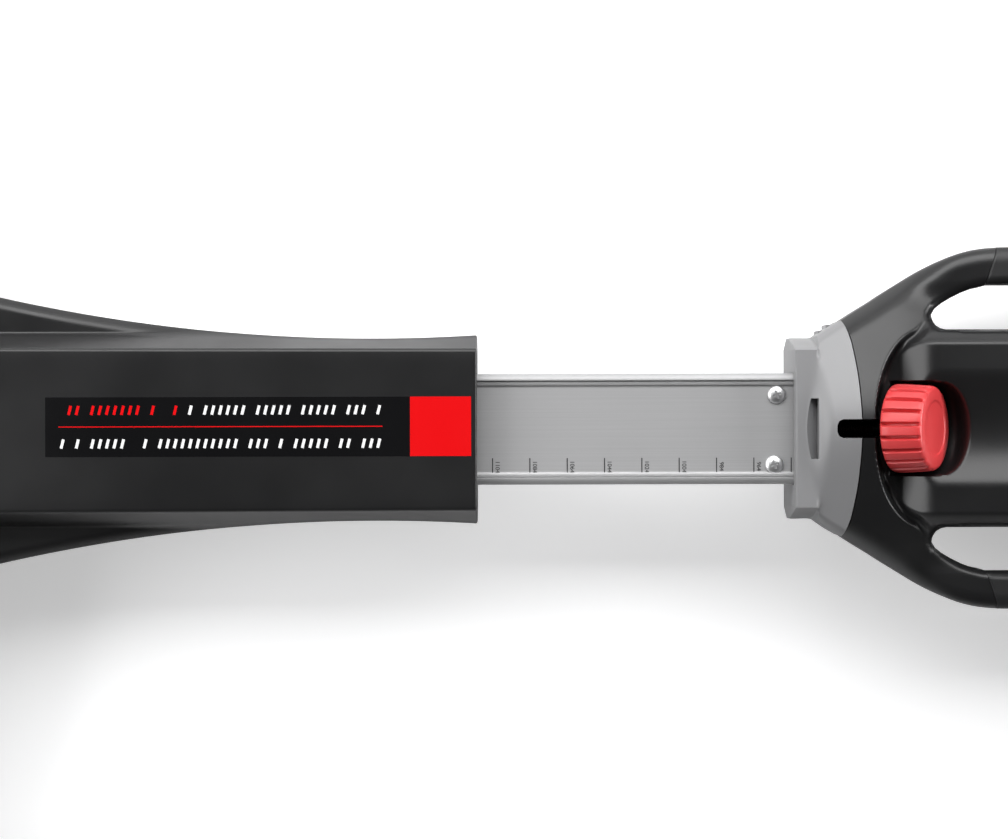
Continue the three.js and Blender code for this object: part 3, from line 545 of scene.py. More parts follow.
def joint_shift(away):
    """How far the round joint line falls back from its middle."""
    return curve_value(joint_line, away) - joint_x


def spread_away(lane, core, half):
    """How far a lane lies from the middle: lanes up to 1 fill the core, the rest the flank."""
    size = abs(lane)
    return size * core if size <= 1 else core + (half - core) * (size - 1)


def mirrored_lanes(*counts):
    """Lanes over the middle from edge to edge, with so many steps in each unit of the way out."""
    side = [band + share for band, count in enumerate(counts) for share in even_steps(0, 1, count)[1:]]
    return [-lane for lane in side[::-1]] + [0.0] + side


def rear_top(x, lane):
    """A point of the rear body's upper face."""
    place_x = x
    fade = max(0.0, 1 - (x - joint_x) / joint_fade)
    for _ in range(4):
        away = spread_away(lane, rear_core, curve_value(rear_outline, place_x))
        place_x = x + (joint_gap + joint_shift(away)) * fade
    y = math.copysign(away, lane)
    return (place_x, y, rear_surface(place_x, y))


raised_away = 60 * mm
raised_spread = 10 * mm
raised_start_x = 100 * mm
raised_start_run = 12 * mm
raised_end_x = 214 * mm
raised_end_run = 14 * mm
tuck_share = 0.04
tuck_away = 50 * mm
tuck_spread = 20 * mm


def rear_low(x, lane):
    """A point of the rear body's underside, which rises under the handles."""
    place_x, y, _ = rear_top(x, lane)
    raised = smooth((abs(y) - raised_away) / raised_spread) * smooth((x - raised_start_x) / raised_start_run)
    raised *= 1 - smooth((x - raised_end_x) / raised_end_run)
    tuck = 1 - tuck_share * smooth((abs(y) - tuck_away) / tuck_spread)
    return (place_x, y * tuck, body_bottom + (handle_bottom - body_bottom) * raised)


fine_end_x = 150 * mm
coarse_start_x = 151 * mm
rear_columns = even_steps(joint_x, fine_end_x, 100) + even_steps(coarse_start_x, rear_back_x, 90)
rear_body = moulding("rear_body_moulding", rear_columns, mirrored_lanes(66, 44), rear_top, rear_wall_top,
                     rear_low)

hole_low = 20 * mm
hole_high = 120 * mm
slot_half = 5 * mm
slot_start_x = 60 * mm
slot_end_x = 90 * mm
slot_bottom = 46 * mm
cover_half = 38 * mm
cover_top = 38 * mm
recess_start_x = 112.8 * mm
recess_end_x = 286 * mm
left_hole = prism("left_hole", opening_outline, hole_low, hole_high)
right_hole = prism("right_hole", [(x, -y) for x, y in opening_outline], hole_low, hole_high)
rod_slot = block("rod_slot", slot_start_x, slot_end_x, -slot_half, slot_half, slot_bottom, hole_high)
rear_recess = block("rear_recess", recess_start_x, recess_end_x, -cover_half, cover_half, hole_low, cover_top)
carve(rear_body, [left_hole, right_hole, rod_slot, rear_recess])

pin_x = 50 * mm
pin_height = 20 * mm
pin_radius = 5 * mm
pin_clearance = 0.3 * mm
pin_hole_half = 40 * mm
ear_radius = 8 * mm
ear_inner = 20 * mm
ear_outer = 32 * mm
ear_side = in_metres([(98, 16), (90, 12)]) + half_round(pin_x, pin_height, ear_radius, 90)[::-1]
ear_side += in_metres([(68.8, 28), (68.8, 40), (107, 40), (107, 34)])
carve(rear_body, [side_prism("left_ear", ear_side, ear_inner, ear_outer),
                  side_prism("right_ear", ear_side, -ear_outer, -ear_inner)], "UNION")
pin_hole_side = full_round(pin_x, pin_height, pin_radius + pin_clearance, 20)
carve(rear_body, [side_prism("ear_hole", pin_hole_side, -pin_hole_half, pin_hole_half)])
finish_faces(rear_body, black_plastic, 40)
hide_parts("rear_body")
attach(rear_body, "rear_frame")


# Collar: a light grey moulding that holds the end of the rail and meets the rear body on a
# round joint line. Its flat front rises over a ramp to a crown with the clamp slot.
grey_plastic = moulded_look("grey_moulded_plastic", (0.21, 0.21, 0.215), (0.24, 0.24, 0.245), 0.36,
                            1100, 0.00004)

collar_x = 31.8 * mm
collar_top = 92 * mm
collar_wall_top = 48 * mm
collar_tuck = 0.88
joint_start_share = 0.35
collar_flat_half = 42 * mm
collar_camber = 1.2 * mm
collar_edge = 0.8 * mm
collar_flank = [(0.0, 0.0), (0.2, 4.5 * mm), (0.6, 17 * mm), (0.88, 30 * mm), (1.0, 40 * mm)]
crown_rim = 5 * mm
crown_rim_drop = 5 * mm
lens_x = 44 * mm
lens_front = 7 * mm
lens_back = 7.4 * mm
lens_edge = 0.6 * mm
collar_outline = in_metres([(31.8, 49.2), (34, 49.6), (44.4, 49.6), (46.4, 50.9), (52.2, 54.9), (57.6, 58.2),
                            (60.3, 59.9), (70, 65.6)])


def collar_surface(x, y):
    """Height of the collar's upper face: flat front, ramp, crown and sloping sides."""
    away = abs(y)
    half = curve_value(collar_outline, x)
    side_share = max(0.0, (away - collar_flat_half) / (half - collar_flat_half))
    inner = min(1.0, away / collar_flat_half)
    flat = collar_top - collar_camber * inner ** 2 - curve_value(collar_flank, side_share)
    crown_height = roof_height(ridge_top, away)
    crown_height -= crown_rim_drop * max(0.0, 1 - (half - away) / crown_rim) ** 2
    bulge = 1 - inner ** 2
    lens_start = lens_x - lens_front * bulge
    lens_end = lens_x + lens_back * bulge
    rise = smooth((x - lens_start + lens_edge) / (lens_end - lens_start + 2 * lens_edge))
    height = flat * (1 - rise) + crown_height * rise
    near_edge = max(0.0, 1 - (x - collar_x) / collar_edge)
    return height - collar_edge * near_edge ** 2


def collar_top_point(x, lane):
    """A point of the collar's upper face."""
    share = (x - collar_x) / (joint_x - collar_x)
    fade = smooth((share - joint_start_share) / (1 - joint_start_share))
    place_x = x
    for _ in range(4):
        away = spread_away(lane, collar_flat_half, curve_value(collar_outline, place_x))
        place_x = x + joint_shift(away) * fade
    y = math.copysign(away, lane)
    return (place_x, y, collar_surface(place_x, y))


def collar_low_point(x, lane):
    """A point of the collar's underside."""
    place_x, y, _ = collar_top_point(x, lane)
    return (place_x, y * collar_tuck, body_bottom)


edge_step = 0.25 * mm
joint_step = 0.2 * mm
collar_columns = [collar_x + step * edge_step for step in range(3)]
collar_columns += even_steps(collar_x + collar_edge, joint_x - 3 * joint_step, 62)
collar_columns += [joint_x - joint_step, joint_x]
collar = moulding("collar_moulding", collar_columns, mirrored_lanes(46, 12), collar_top_point,
                  collar_wall_top, collar_low_point)

slot_start = 52.7 * mm
slot_end = 74.9 * mm
slot_corner = 3.4 * mm
slot_bevel = 0.3 * slot_corner
slot_floor = 50 * mm
slot_side = [(slot_end, slot_half), (slot_start + slot_corner, slot_half),
             (slot_start + slot_bevel, slot_half - slot_bevel), (slot_start, slot_half - slot_corner)]
slot_outline = [(x, -y) for x, y in slot_side[::-1]] + slot_side
scoop_start = 37.8 * mm
scoop_end = 43.7 * mm
scoop_bend = 2 * mm
scoop_half = 16.1 * mm
scoop_floor_start = 91 * mm
scoop_floor_end = 86.8 * mm
scoop_roof = 110 * mm
scoop_points = []
for share in even_steps(-1, 1, 16):
    front_x = scoop_start + scoop_bend * share * share
    y = scoop_half * share
    scoop_points += [(front_x, y, scoop_floor_start), (scoop_end, y, scoop_floor_end),
                     (scoop_end, y, scoop_roof), (front_x, y, scoop_roof)]
scoop = skin("scoop", scoop_points, 4)

rail_pocket_start = 20 * mm
rail_pocket_end = 53.1 * mm
rail_pocket_low = 55.7 * mm
rail_pocket_high = 82.3 * mm
rail_pocket_half = 30.1 * mm
rail_pocket = block("rail_pocket", rail_pocket_start, rail_pocket_end, -rail_pocket_half, rail_pocket_half,
                    rail_pocket_low, rail_pocket_high)
slot_cutter = prism("clamp_slot", slot_outline, slot_floor, hole_high)
carve(collar, [slot_cutter, scoop, rail_pocket])

lug_half = 19.7 * mm
lug_radius = 10 * mm
lug_top = 40 * mm
lug_side = half_round(pin_x, pin_height, lug_radius, 180)
lug_side += [(pin_x + lug_radius, lug_top), (pin_x - lug_radius, lug_top)]
ridge_inner = 40 * mm
ridge_low = 45 * mm
ridge_high = 62 * mm
ridge_limits = [(47.4 * mm, 50.7 * mm, 53.2 * mm), (51.7 * mm, 55 * mm, 56.4 * mm)]
ridges = [block("grip_ridge", x0, x1, ridge_inner, outer, ridge_low, ridge_high)
          for x0, x1, outer in ridge_limits]
carve(collar, [side_prism("collar_lug", lug_side, -lug_half, lug_half), *ridges], "UNION")
carve(collar, [side_prism("lug_hole", pin_hole_side, -pin_hole_half, pin_hole_half)])
finish_faces(collar, grey_plastic, 40)
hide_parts("collar")
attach(collar, "rail_carrier")


# Front body: one dark grey moulding over the rail, with a flat top, a crisp edge, and flanks
# that hollow out into a dish where the body flares into the yoke of the front arms.
dark_plastic = moulded_look("dark_moulded_plastic", (0.008, 0.008, 0.0085), (0.012, 0.012, 0.0125), 0.34,
                            1000, 0.00005)

front_end_x = -138 * mm
front_waist_x = -192.7 * mm
front_waist_half = 49.3 * mm
front_flare_rise = 22.5 * mm
front_flare_span = 202 * mm
front_yoke_start = -400 * mm
front_yoke_back = -468 * mm
front_face_x = -548 * mm
front_top = 95 * mm
front_top_half = 41 * mm
front_top_taper = 0.003
front_wall_top = 50 * mm
front_end_round = 0.8 * mm
front_rim = 5 * mm
front_tuck = 8 * mm
front_yoke_run = 50 * mm
front_shoulder = 70 * mm
front_yoke_top = 92.5 * mm
top_edge_radius = 2.2 * mm
foot_half = 52 * mm
shelf_rim = 7 * mm
shelf_rim_drop = 4.5 * mm
foot_round = 4 * mm


def bezier(a, b, c, d, share):
    """A point of a cubic curve."""
    rest = 1 - share
    return rest ** 3 * a + 3 * rest ** 2 * share * b + 3 * rest * share ** 2 * c + share ** 3 * d


def flared_half(x):
    """Half width of the front body before the yoke, where it widens slowly towards the front."""
    return front_waist_half + front_flare_rise * ((front_waist_x - x) / front_flare_span) ** 2


yoke_bend = (front_yoke_start - front_yoke_back) / 2
yoke_start_half = flared_half(front_yoke_start)
yoke_back_pull = 1.7 * yoke_start_half
yoke_front_pull = 1.12 * yoke_start_half
yoke_curve = []
for share in even_steps(0, 1, 24):
    curve_x = bezier(front_yoke_back, front_yoke_back + yoke_bend, front_yoke_start - yoke_bend,
                     front_yoke_start, share)
    yoke_curve.append((curve_x, bezier(yoke_half, yoke_back_pull, yoke_front_pull, yoke_start_half, share)))


def front_half(x):
    """Half width of the front body in plan."""
    if x <= front_yoke_back:
        return yoke_half
    return curve_value(yoke_curve, x) if x < front_yoke_start else flared_half(x)


def front_top_point(x, lane):
    """A point of the front body's upper face: its flat up to lane 1, its edge up to 2, then its flank."""
    size = abs(lane)
    end_inset = front_end_round * max(0.0, 1 - (front_end_x - x) / front_end_round) ** 2
    half = front_half(x) - end_inset
    top_half = front_top_half + front_top_taper * (front_end_x - x) - end_inset
    top = front_top - end_inset
    yoke_share = smooth((front_yoke_start - x) / front_yoke_run)
    flat_end = top_half + top_edge_radius
    angle = math.atan2(front_top - front_shoulder, min(half, foot_half) - flat_end)
    angle *= 1 - yoke_share
    if size <= 1:
        away = top_half * size
        height = top - (front_top - front_yoke_top) * yoke_share * smooth(size)
    elif size <= 2:
        turn = angle * (size - 1)
        away = top_half + top_edge_radius * math.sin(turn)
        away += (flat_end - top_half - top_edge_radius * math.sin(angle)) * (size - 1)
        height = top - top_edge_radius * (1 - math.cos(turn))
        height -= (front_top - front_yoke_top) * yoke_share
    else:
        away = flat_end + (half - flat_end) * (size - 2)
        start = top - top_edge_radius * (1 - math.cos(angle))
        foot = min(half, foot_half)
        fall = (start - front_shoulder) / (foot - flat_end)
        flank = start - fall * (away - flat_end)
        near_rim = max(0.0, 1 - (half - away) / shelf_rim)
        rim_at_foot = max(0.0, 1 - (half - foot) / shelf_rim)
        shelf = front_shoulder - shelf_rim_drop * (near_rim ** 2 - rim_at_foot ** 2)
        slope = -soft_lowest(-flank, -shelf, foot_round)
        level = front_yoke_top - edge_round(half - away, front_rim, front_rim)
        height = slope * (1 - yoke_share) + level * yoke_share
    height -= edge_round(x - front_face_x, front_rim, front_rim)
    return (x, math.copysign(away, lane), height)


def front_low_point(x, lane):
    """A point of the front body's underside."""
    place_x, y, _ = front_top_point(x, lane)
    return (place_x, y * (1 - front_tuck / front_half(x)), body_bottom)


column_gap = 2 * mm
front_columns = [front_face_x + step * mm for step in (0, 0.4, 1.4, 3)]
front_columns += even_steps(front_face_x + front_rim, front_yoke_back - column_gap, 12)
front_columns += even_steps(front_yoke_back, front_yoke_start, 40)
front_columns += even_steps(front_yoke_start + column_gap, front_end_x - column_gap, 96)
front_columns += [front_end_x - step * mm for step in (0.8, 0.5, 0.2, 0)]
front_body = moulding("front_body_moulding", front_columns, mirrored_lanes(8, 5, 44), front_top_point,
                      front_wall_top, front_low_point)
channel_start = -436 * mm
channel_end = -120 * mm
channel_low = 55.5 * mm
channel_high = 82.5 * mm
front_recess_start = -450 * mm
front_recess_end = -150 * mm
channel_half = 30.3 * mm
rail_channel = block("rail_channel", channel_start, channel_end, -channel_half, channel_half, channel_low,
                     channel_high)
front_recess = block("front_recess", front_recess_start, front_recess_end, -cover_half, cover_half, hole_low,
                     cover_top)
carve(front_body, [rail_channel, front_recess])
finish_faces(front_body, dark_plastic, 40)
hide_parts("front_body")
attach(front_body, "front_frame")


# Telescopic rail: one satin anodised aluminium extrusion with a round bead and a low lip along
# each edge, and a recessed face between them that carries the printed wheelbase scale.
def brushed_group():
    """Fine lines left by rolling or turning, stretched along one way, with soft stains."""
    tree, start, end = group_tree(
        "metal_lines",
        [("Vector", "NodeSocketVector", None), ("Stretch", "NodeSocketVector", (20.0, 900.0, 900.0))],
        [("Lines", "NodeSocketFloat"), ("Stains", "NodeSocketFloat")])
    stretch = new_node(tree, "ShaderNodeVectorMath", operation="MULTIPLY")
    lines = new_node(tree, "ShaderNodeTexNoise", {"Scale": 1.0, "Detail": 4})
    stains = new_node(tree, "ShaderNodeTexNoise", {"Scale": 22.0, "Detail": 3})
    wire(tree, (start, "Vector", stretch, 0), (start, "Stretch", stretch, 1),
         (stretch, "Vector", lines, "Vector"), (start, "Vector", stains, "Vector"),
         (lines, "Fac", end, "Lines"), (stains, "Fac", end, "Stains"))
    return tree


metal_lines = brushed_group()


def metal_look(name, dark, light, roughness, stretch, depth=0.00002, metallic=1.0, wear=0.06):
    """A bare or anodised metal: drawn lines in its polish, tone and relief."""
    look = grained_look(name, metal_lines, {"Stretch": stretch}, ("Lines", "Stains", "Lines"), (dark, light),
                        (roughness - wear, roughness + wear), (0.4, depth))
    look.node_tree.nodes["Principled BSDF"].inputs["Metallic"].default_value = metallic
    return look


rail_metal = metal_look("satin_rail_metal", (0.36, 0.36, 0.365), (0.43, 0.43, 0.435), 0.46,
                        (9.0, 1500.0, 1500.0), metallic=0.35, wear=0.015)


def drawn_along_x(name, section, x0, x1):
    """A section in Y and Z carried along X, closed at both ends."""
    return skin(name, [(x, y, z) for x in (x0, x1) for y, z in section], len(section))


rail_start = -257.2 * mm
rail_end = 52.8 * mm
rail_half = 29.8 * mm
rail_low = 56 * mm
rail_face = 79.5 * mm
bead_radius = 3.6 * mm
bead_top = 82 * mm
rail_corner = in_metres([(0, 56), (28.6, 56), (29.45, 56.35), (29.8, 57.2)])
bead_turns = [math.radians(7.5 * step) for step in range(13)]
bead_side = [(rail_half - bead_radius + bead_radius * math.cos(turn),
              bead_top - bead_radius + bead_radius * math.sin(turn)) for turn in bead_turns]
lip_side = in_metres([(26.1, 81.9), (25.9, 81.6), (25.9, 80), (25.6, 80.6), (25.2, 80.7), (23.8, 80.7),
                      (23.5, 80.45), (23.4, 79.65), (23.1, 79.5), (22.5, 79.5)])
rail_side = rail_corner + bead_side + lip_side
rail_section = rail_side + [(-y, z) for y, z in rail_side[:0:-1]]
rail = drawn_along_x("telescopic_rail", rail_section, rail_start, rail_end)
rail_wall = 3 * mm
cut_past = 5 * mm
carve(rail, [block("rail_hollow", rail_start - cut_past, rail_end + cut_past, rail_wall - rail_half,
                   rail_half - rail_wall, rail_low + rail_wall, rail_face - rail_wall)])
finish_faces(rail, rail_metal, 40)
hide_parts("rail")
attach(rail, "rail_carrier")

# Wheelbase scale: black ink printed on the rail's recessed face, one tick for every 20 mm of
# wheelbase, with its length in millimetres beside it.
print_lift = 0.06 * mm
print_height = rail_face + print_lift
tick_x = -129.7 * mm
tick_spacing = 20.05 * mm
tick_count = 9
tick_low = -24.9 * mm
tick_high = -15.5 * mm
tick_width = 0.5 * mm
tick_thickness = 0.08 * mm


def input_number(tree, name, value):
    """A named length or count on a Geometry Nodes tree."""
    kind = "NodeSocketInt" if isinstance(value, int) else "NodeSocketFloat"
    socket = tree.interface.new_socket(name=name, in_out="INPUT", socket_type=kind)
    socket.default_value = value
    return socket.identifier


def geometry_tree(name, numbers):
    """A Geometry Nodes tree with named number inputs: the tree, its ends and the identifiers."""
    tree = bpy.data.node_groups.new(name, "GeometryNodeTree")
    tree.interface.new_socket(name="Geometry", in_out="OUTPUT", socket_type="NodeSocketGeometry")
    identifiers = {label: input_number(tree, label, value) for label, value in numbers.items()}
    return tree, new_node(tree, "NodeGroupInput"), new_node(tree, "NodeGroupOutput"), identifiers


def vector_of(tree, start, **labels):
    """A vector whose X, Y and Z come from the tree's named inputs."""
    vector = new_node(tree, "ShaderNodeCombineXYZ")
    wire(tree, *[(start, label, vector, axis) for axis, label in labels.items()])
    return vector


def bar_shape(tree, start, x, y, z):
    """A box with its three sizes taken from named inputs."""
    bar = new_node(tree, "GeometryNodeMeshCube")
    wire(tree, (vector_of(tree, start, X=x, Y=y, Z=z), "Vector", bar, "Size"))
    return bar


def row_points(tree, start, first, step):
    """Points in a row: as many as the input says, from a first place and a step."""
    row = new_node(tree, "GeometryNodeMeshLine")
    wire(tree, (start, "Count", row, "Count"), (first, "Vector", row, "Start Location"),
         (step, "Vector", row, "Offset"))
    return row


def spread(tree, end, look, points, output, shape, moved=None):
    """Puts a shape on every point, makes the copies real, moves them if asked, and dresses them."""
    placed = new_node(tree, "GeometryNodeInstanceOnPoints")
    real = new_node(tree, "GeometryNodeRealizeInstances")
    dressed = new_node(tree, "GeometryNodeSetMaterial", {"Material": look})
    wire(tree, (points, output, placed, "Points"), (shape, "Mesh", placed, "Instance"),
         (placed, "Instances", real, "Geometry"), (dressed, "Geometry", end, "Geometry"))
    if moved:
        wire(tree, (real, "Geometry", moved, "Geometry"), (moved, "Geometry", dressed, "Geometry"))
    else:
        wire(tree, (real, "Geometry", dressed, "Geometry"))
    return placed


def grown(name, tree, identifiers, numbers):
    """Runs a Geometry Nodes tree with its numbers and keeps the result as a plain mesh."""
    piece = in_scene(name, bpy.data.meshes.new(name))
    growth = piece.modifiers.new("growth", "NODES")
    growth.node_group = tree
    for label, value in numbers.items():
        growth[identifiers[label]] = value
    applied(piece)
    return piece


def row_tree(name, look):
    """Like bars in a row along X, each a box of its own width, length and thickness."""
    numbers = {"Count": 9, "First X": 0.0, "Spacing": 0.02, "Middle Y": 0.0, "Middle Z": 0.0,
               "Width": 0.001, "Length": 0.01, "Thickness": 0.0001}
    tree, start, end, identifiers = geometry_tree(name, numbers)
    row = row_points(tree, start, vector_of(tree, start, X="First X", Y="Middle Y", Z="Middle Z"),
                     vector_of(tree, start, X="Spacing"))
    spread(tree, end, look, row, "Mesh", bar_shape(tree, start, "Width", "Length", "Thickness"))
    return tree, identifiers


black_ink = moulded_look("black_print", (0.006, 0.006, 0.007), (0.014, 0.014, 0.015), 0.5, 2600, 0.00001)
tick_tree, tick_inputs = row_tree("printed_ticks", black_ink)
ticks = grown("scale_ticks", tick_tree, tick_inputs, {
    "Count": tick_count, "First X": tick_x, "Spacing": tick_spacing, "Middle Y": (tick_low + tick_high) / 2,
    "Middle Z": print_height, "Width": tick_width, "Length": tick_high - tick_low,
    "Thickness": tick_thickness})
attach(ticks, "rail_carrier")

number_height = 3.3 * mm
number_offset = 2.6 * mm
number_thickness = 0.06 * mm
first_length = 1104
length_step = 20


def lettering(name, words, size, place, turn, thickness, look):
    """Flat lettering as a mesh, turned in plan and set at its place."""
    text = bpy.data.curves.new(name, "FONT")
    text.body = words
    text.size = size
    text.extrude = thickness / 2
    text.align_x = "CENTER"
    text.align_y = "CENTER"
    text_object = in_scene(name + "_words", text)
    graph = bpy.context.evaluated_depsgraph_get()
    mesh = bpy.data.meshes.new_from_object(text_object.evaluated_get(graph))
    bpy.data.objects.remove(text_object)
    mesh.transform(Matrix.Translation(place) @ Matrix.Rotation(turn, 4, "Z"))
    mesh.materials.clear()
    mesh.materials.append(look)
    return in_scene(name, mesh)


def joined(name, pieces):
    """Several pieces as one object."""
    shape = bmesh.new()
    looks = []
    for piece in pieces:
        start = len(shape.faces)
        shape.from_mesh(piece.data)
        shape.faces.ensure_lookup_table()
        base = len(looks)
        looks += list(piece.data.materials)
        for face in shape.faces[start:]:
            face.material_index += base
    mesh = bpy.data.meshes.new(name)
    shape.to_mesh(mesh)
    shape.free()
    for look in looks:
        mesh.materials.append(look)
    for piece in pieces:
        bpy.data.objects.remove(piece)
    return in_scene(name, mesh)


number_pieces = []
for step in range(tick_count):
    place = Vector((tick_x + step * tick_spacing + number_offset, (tick_low + tick_high) / 2, print_height))
    number_pieces.append(lettering(f"length_{step}", str(first_length - length_step * step), number_height,
                                   place, -math.pi / 2, number_thickness, black_ink))
numbers = joined("scale_numbers", number_pieces)
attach(numbers, "rail_carrier")

# Rail screws: two zinc plated pan heads with a cross recess, side by side, driven through the
# end of the rail into the collar's moulding.
screw_steel = metal_look("bright_screw_steel", (0.74, 0.74, 0.75), (0.9, 0.9, 0.91), 0.4,
                         (700.0, 700.0, 700.0), 0.00012)
screw_places = {"upper": (22.9 * mm, 18.3 * mm), "lower": (21.6 * mm, -19.2 * mm)}
screw_head_radius = 4.9 * mm
screw_head_height = 2.6 * mm
screw_head_rim = 0.5 * mm
screw_shank = in_metres([(0, -14), (2.2, -14), (2.5, -13), (2.5, 0.15), (4.6, 0.15), (4.9, 0.5)])
screw_recess = 1.2 * mm
recess_arm = 2.4 * mm
recess_half = 0.5 * mm
recess_turn = math.radians(20)


def revolved(name, profile, segments, frame_matrix):
    """A turned solid: its profile is (radius, distance along the axis), closed back to its start."""
    points = []
    faces = []
    count = len(profile)
    for step in range(segments):
        turn = 2 * math.pi * step / segments
        for radius, along in profile:
            points.append(frame_matrix @ Vector((radius * math.cos(turn), radius * math.sin(turn), along)))
    for step in range(segments):
        after = (step + 1) % segments
        for index in range(count):
            following = (index + 1) % count
            if profile[index][0] == 0 and profile[following][0] == 0:
                continue
            faces.append((step * count + index, after * count + index,
                          after * count + following, step * count + following))
    return mesh_piece(name, points, faces)


def screw_piece(name, x, y):
    """A pan head with a cross recess, on its shank."""
    profile = list(screw_shank)
    for step in range(1, 8):
        turn = math.pi / 2 * step / 8
        crown = (screw_head_height - screw_head_rim) * math.sin(turn)
        profile.append((screw_head_radius * math.cos(turn), screw_head_rim + crown))
    profile.append((0, screw_head_height))
    head = revolved(name, profile, 40, Matrix.Translation((x, y, rail_face)))
    floor_z = rail_face + screw_head_height - screw_recess
    cutters = []
    for quarter in (0, math.pi / 2):
        spin = Matrix.Rotation(recess_turn + quarter, 2)
        corners = [spin @ Vector((side_x * recess_arm, side_y * recess_half))
                   for side_x, side_y in ((-1, -1), (1, -1), (1, 1), (-1, 1))]
        outline = [(x + corner.x, y + corner.y) for corner in corners]
        cutters.append(prism(f"{name}_recess", outline, floor_z, hole_high))
    carve(head, cutters)
    finish_faces(head, screw_steel, 32)
    return head


for side, (x, y) in screw_places.items():
    screw = screw_piece(f"rail_screw_{side}_bright", x, y)
    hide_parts(f"rail_screw_{side}")
    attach(screw, "rail_carrier")

# Clamp: a red fluted knob on a threaded rod, over a plain washer, all on one axis tilted by 30
# degrees. Turning the knob presses the washer on the rear body's seat and locks the fold.
red_plastic = moulded_look("red_moulded_plastic", (0.6, 0.04, 0.045), (0.68, 0.06, 0.06), 0.38, 1200, 0.00004)
black_steel = metal_look("blackened_steel", (0.012, 0.012, 0.013), (0.03, 0.03, 0.031), 0.45,
                         (400.0, 400.0, 400.0))
knob_flutes = 20
flute_depth = 3 * mm
flute_share = 0.19
flute_phase = 0.82
flute_edge = 19.5 * mm
flute_start = 0.9 * mm
flute_start_run = 1.2 * mm
flute_end = 20.2 * mm
flute_end_run = 2.2 * mm
clamp_matrix = Matrix.Translation((clamp_x, 0, clamp_height))
clamp_matrix @= Matrix.Rotation(math.radians(90) - clamp_tilt, 4, "Y")
knob_profile = in_metres([
    (0, 1.2), (18, 1.2), (19, 0.3), (22.4, 0.3), (23.3, 0.8), (23.8, 1.9), (23.7, 6), (23.4, 11),
    (23.1, 16), (22.8, 20), (22.6, 21), (22.2, 21.9), (21.4, 22.6), (20.2, 22.9), (17.5, 23.1),
    (15.2, 23.2), (14.8, 23.1), (14.5, 22.8), (14.1, 22.65), (13.2, 22.6), (8, 22.7), (0, 22.8)])
knob_segments = 480
knob_points = []
knob_faces = []
profile_count = len(knob_profile)
for step in range(knob_segments):
    turn = 2 * math.pi * step / knob_segments
    phase = (knob_flutes * turn / (2 * math.pi) + flute_phase) % 1.0
    groove = smooth(1.5 * (1 - abs(phase - 0.5) / flute_share))
    for radius, along in knob_profile:
        depth_share = smooth((along - flute_start) / flute_start_run)
        depth_share *= 1 - smooth((along - flute_end) / flute_end_run)
        depth_share *= 1.0 if radius > flute_edge else 0.0
        cut_radius = radius - flute_depth * groove * depth_share
        place = Vector((cut_radius * math.cos(turn), cut_radius * math.sin(turn), along))
        knob_points.append(clamp_matrix @ place)
for step in range(knob_segments):
    after = (step + 1) % knob_segments
    for index in range(profile_count - 1):
        knob_faces.append((step * profile_count + index, after * profile_count + index,
                           after * profile_count + index + 1, step * profile_count + index + 1))
knob = mesh_piece("fluted_knob", knob_points, knob_faces)
finish_faces(knob, red_plastic, 60)
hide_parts("clamp_knob")
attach(knob, "knob")

rod_radius = 4 * mm
rod_tail = 30 * mm
rod_tail_chamfer = 0.8 * mm
rod_top = 15 * mm
rod_neck = 1 * mm
thread_start = 0.5 * mm - rod_tail
thread_depth = 0.6 * mm
thread_pitch = 1.5 * mm
rod_profile = [(0, -rod_tail), (rod_radius - rod_tail_chamfer, -rod_tail)]
for step in range(26):
    radius = rod_radius - (thread_depth if step % 2 else 0.0)
    rod_profile.append((radius, thread_start + step * thread_pitch / 2))
rod_profile += [(rod_radius, rod_neck), (rod_radius, rod_top - rod_neck),
                (rod_radius - thread_depth, rod_top), (0, rod_top)]
rod = revolved("threaded_rod", rod_profile, 40, clamp_matrix)
finish_faces(rod, black_steel, 30)
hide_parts("clamp_rod")
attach(rod, "rear_frame")

washer_profile = in_metres([(4.3, -2.7), (9.6, -2.7), (10, -2.3), (10, -0.7), (9.6, -0.3), (4.3, -0.3)])
washer = revolved("clamp_seat_washer", washer_profile, 64, clamp_matrix)
finish_faces(washer, screw_steel, 30)
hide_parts("clamp_washer")
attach(washer, "washer")

# Fold pin: a turned steel pin through the collar's lug and the rear body's ears, with a groove for
# a retaining ring at each end.
turned_steel = metal_look("turned_steel", (0.5, 0.5, 0.51), (0.62, 0.62, 0.63), 0.28, (3.0, 1500.0, 3.0))
along_y = Matrix.Rotation(math.radians(-90), 4, "X")


def turned_y(name, profile, segments, x, y, z, look, angle=35):
    """A turned solid about a line along Y, its profile given from its own middle."""
    piece = revolved(name, profile, segments, Matrix.Translation((x, y, z)) @ along_y)
    finish_faces(piece, look, angle)
    return piece


pin_half = 32 * mm
pin_chamfer = 0.8 * mm
ring_groove = 0.6 * mm
pin_end = [(0, pin_half), (pin_radius - pin_chamfer, pin_half), (pin_radius, pin_half - pin_chamfer),
           (pin_radius, pin_half - 2 * pin_chamfer), (pin_radius - ring_groove, pin_half - 2 * pin_chamfer),
           (pin_radius - ring_groove, pin_half - 3 * pin_chamfer), (pin_radius, pin_half - 3 * pin_chamfer)]
pin_profile = pin_end + [(radius, -along) for radius, along in pin_end[::-1]]
fold_pin = turned_y("turned_fold_pin", pin_profile, 48, pin_x, 0, pin_height, turned_steel)
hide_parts("fold_pin")
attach(fold_pin, "rear_frame")

# Rail glide: a moulded block of low friction plastic that plugs the hidden end of the rail. It
# keeps the rail square in the front body's channel while the wheelbase is set.
def rounded(piece, width, segments=2):
    """Bevels a piece's sharp edges."""
    bevel = piece.modifiers.new("edges", "BEVEL")
    bevel.width = width
    bevel.segments = segments
    bevel.limit_method = "ANGLE"
    bevel.angle_limit = math.radians(28)
    applied(piece)


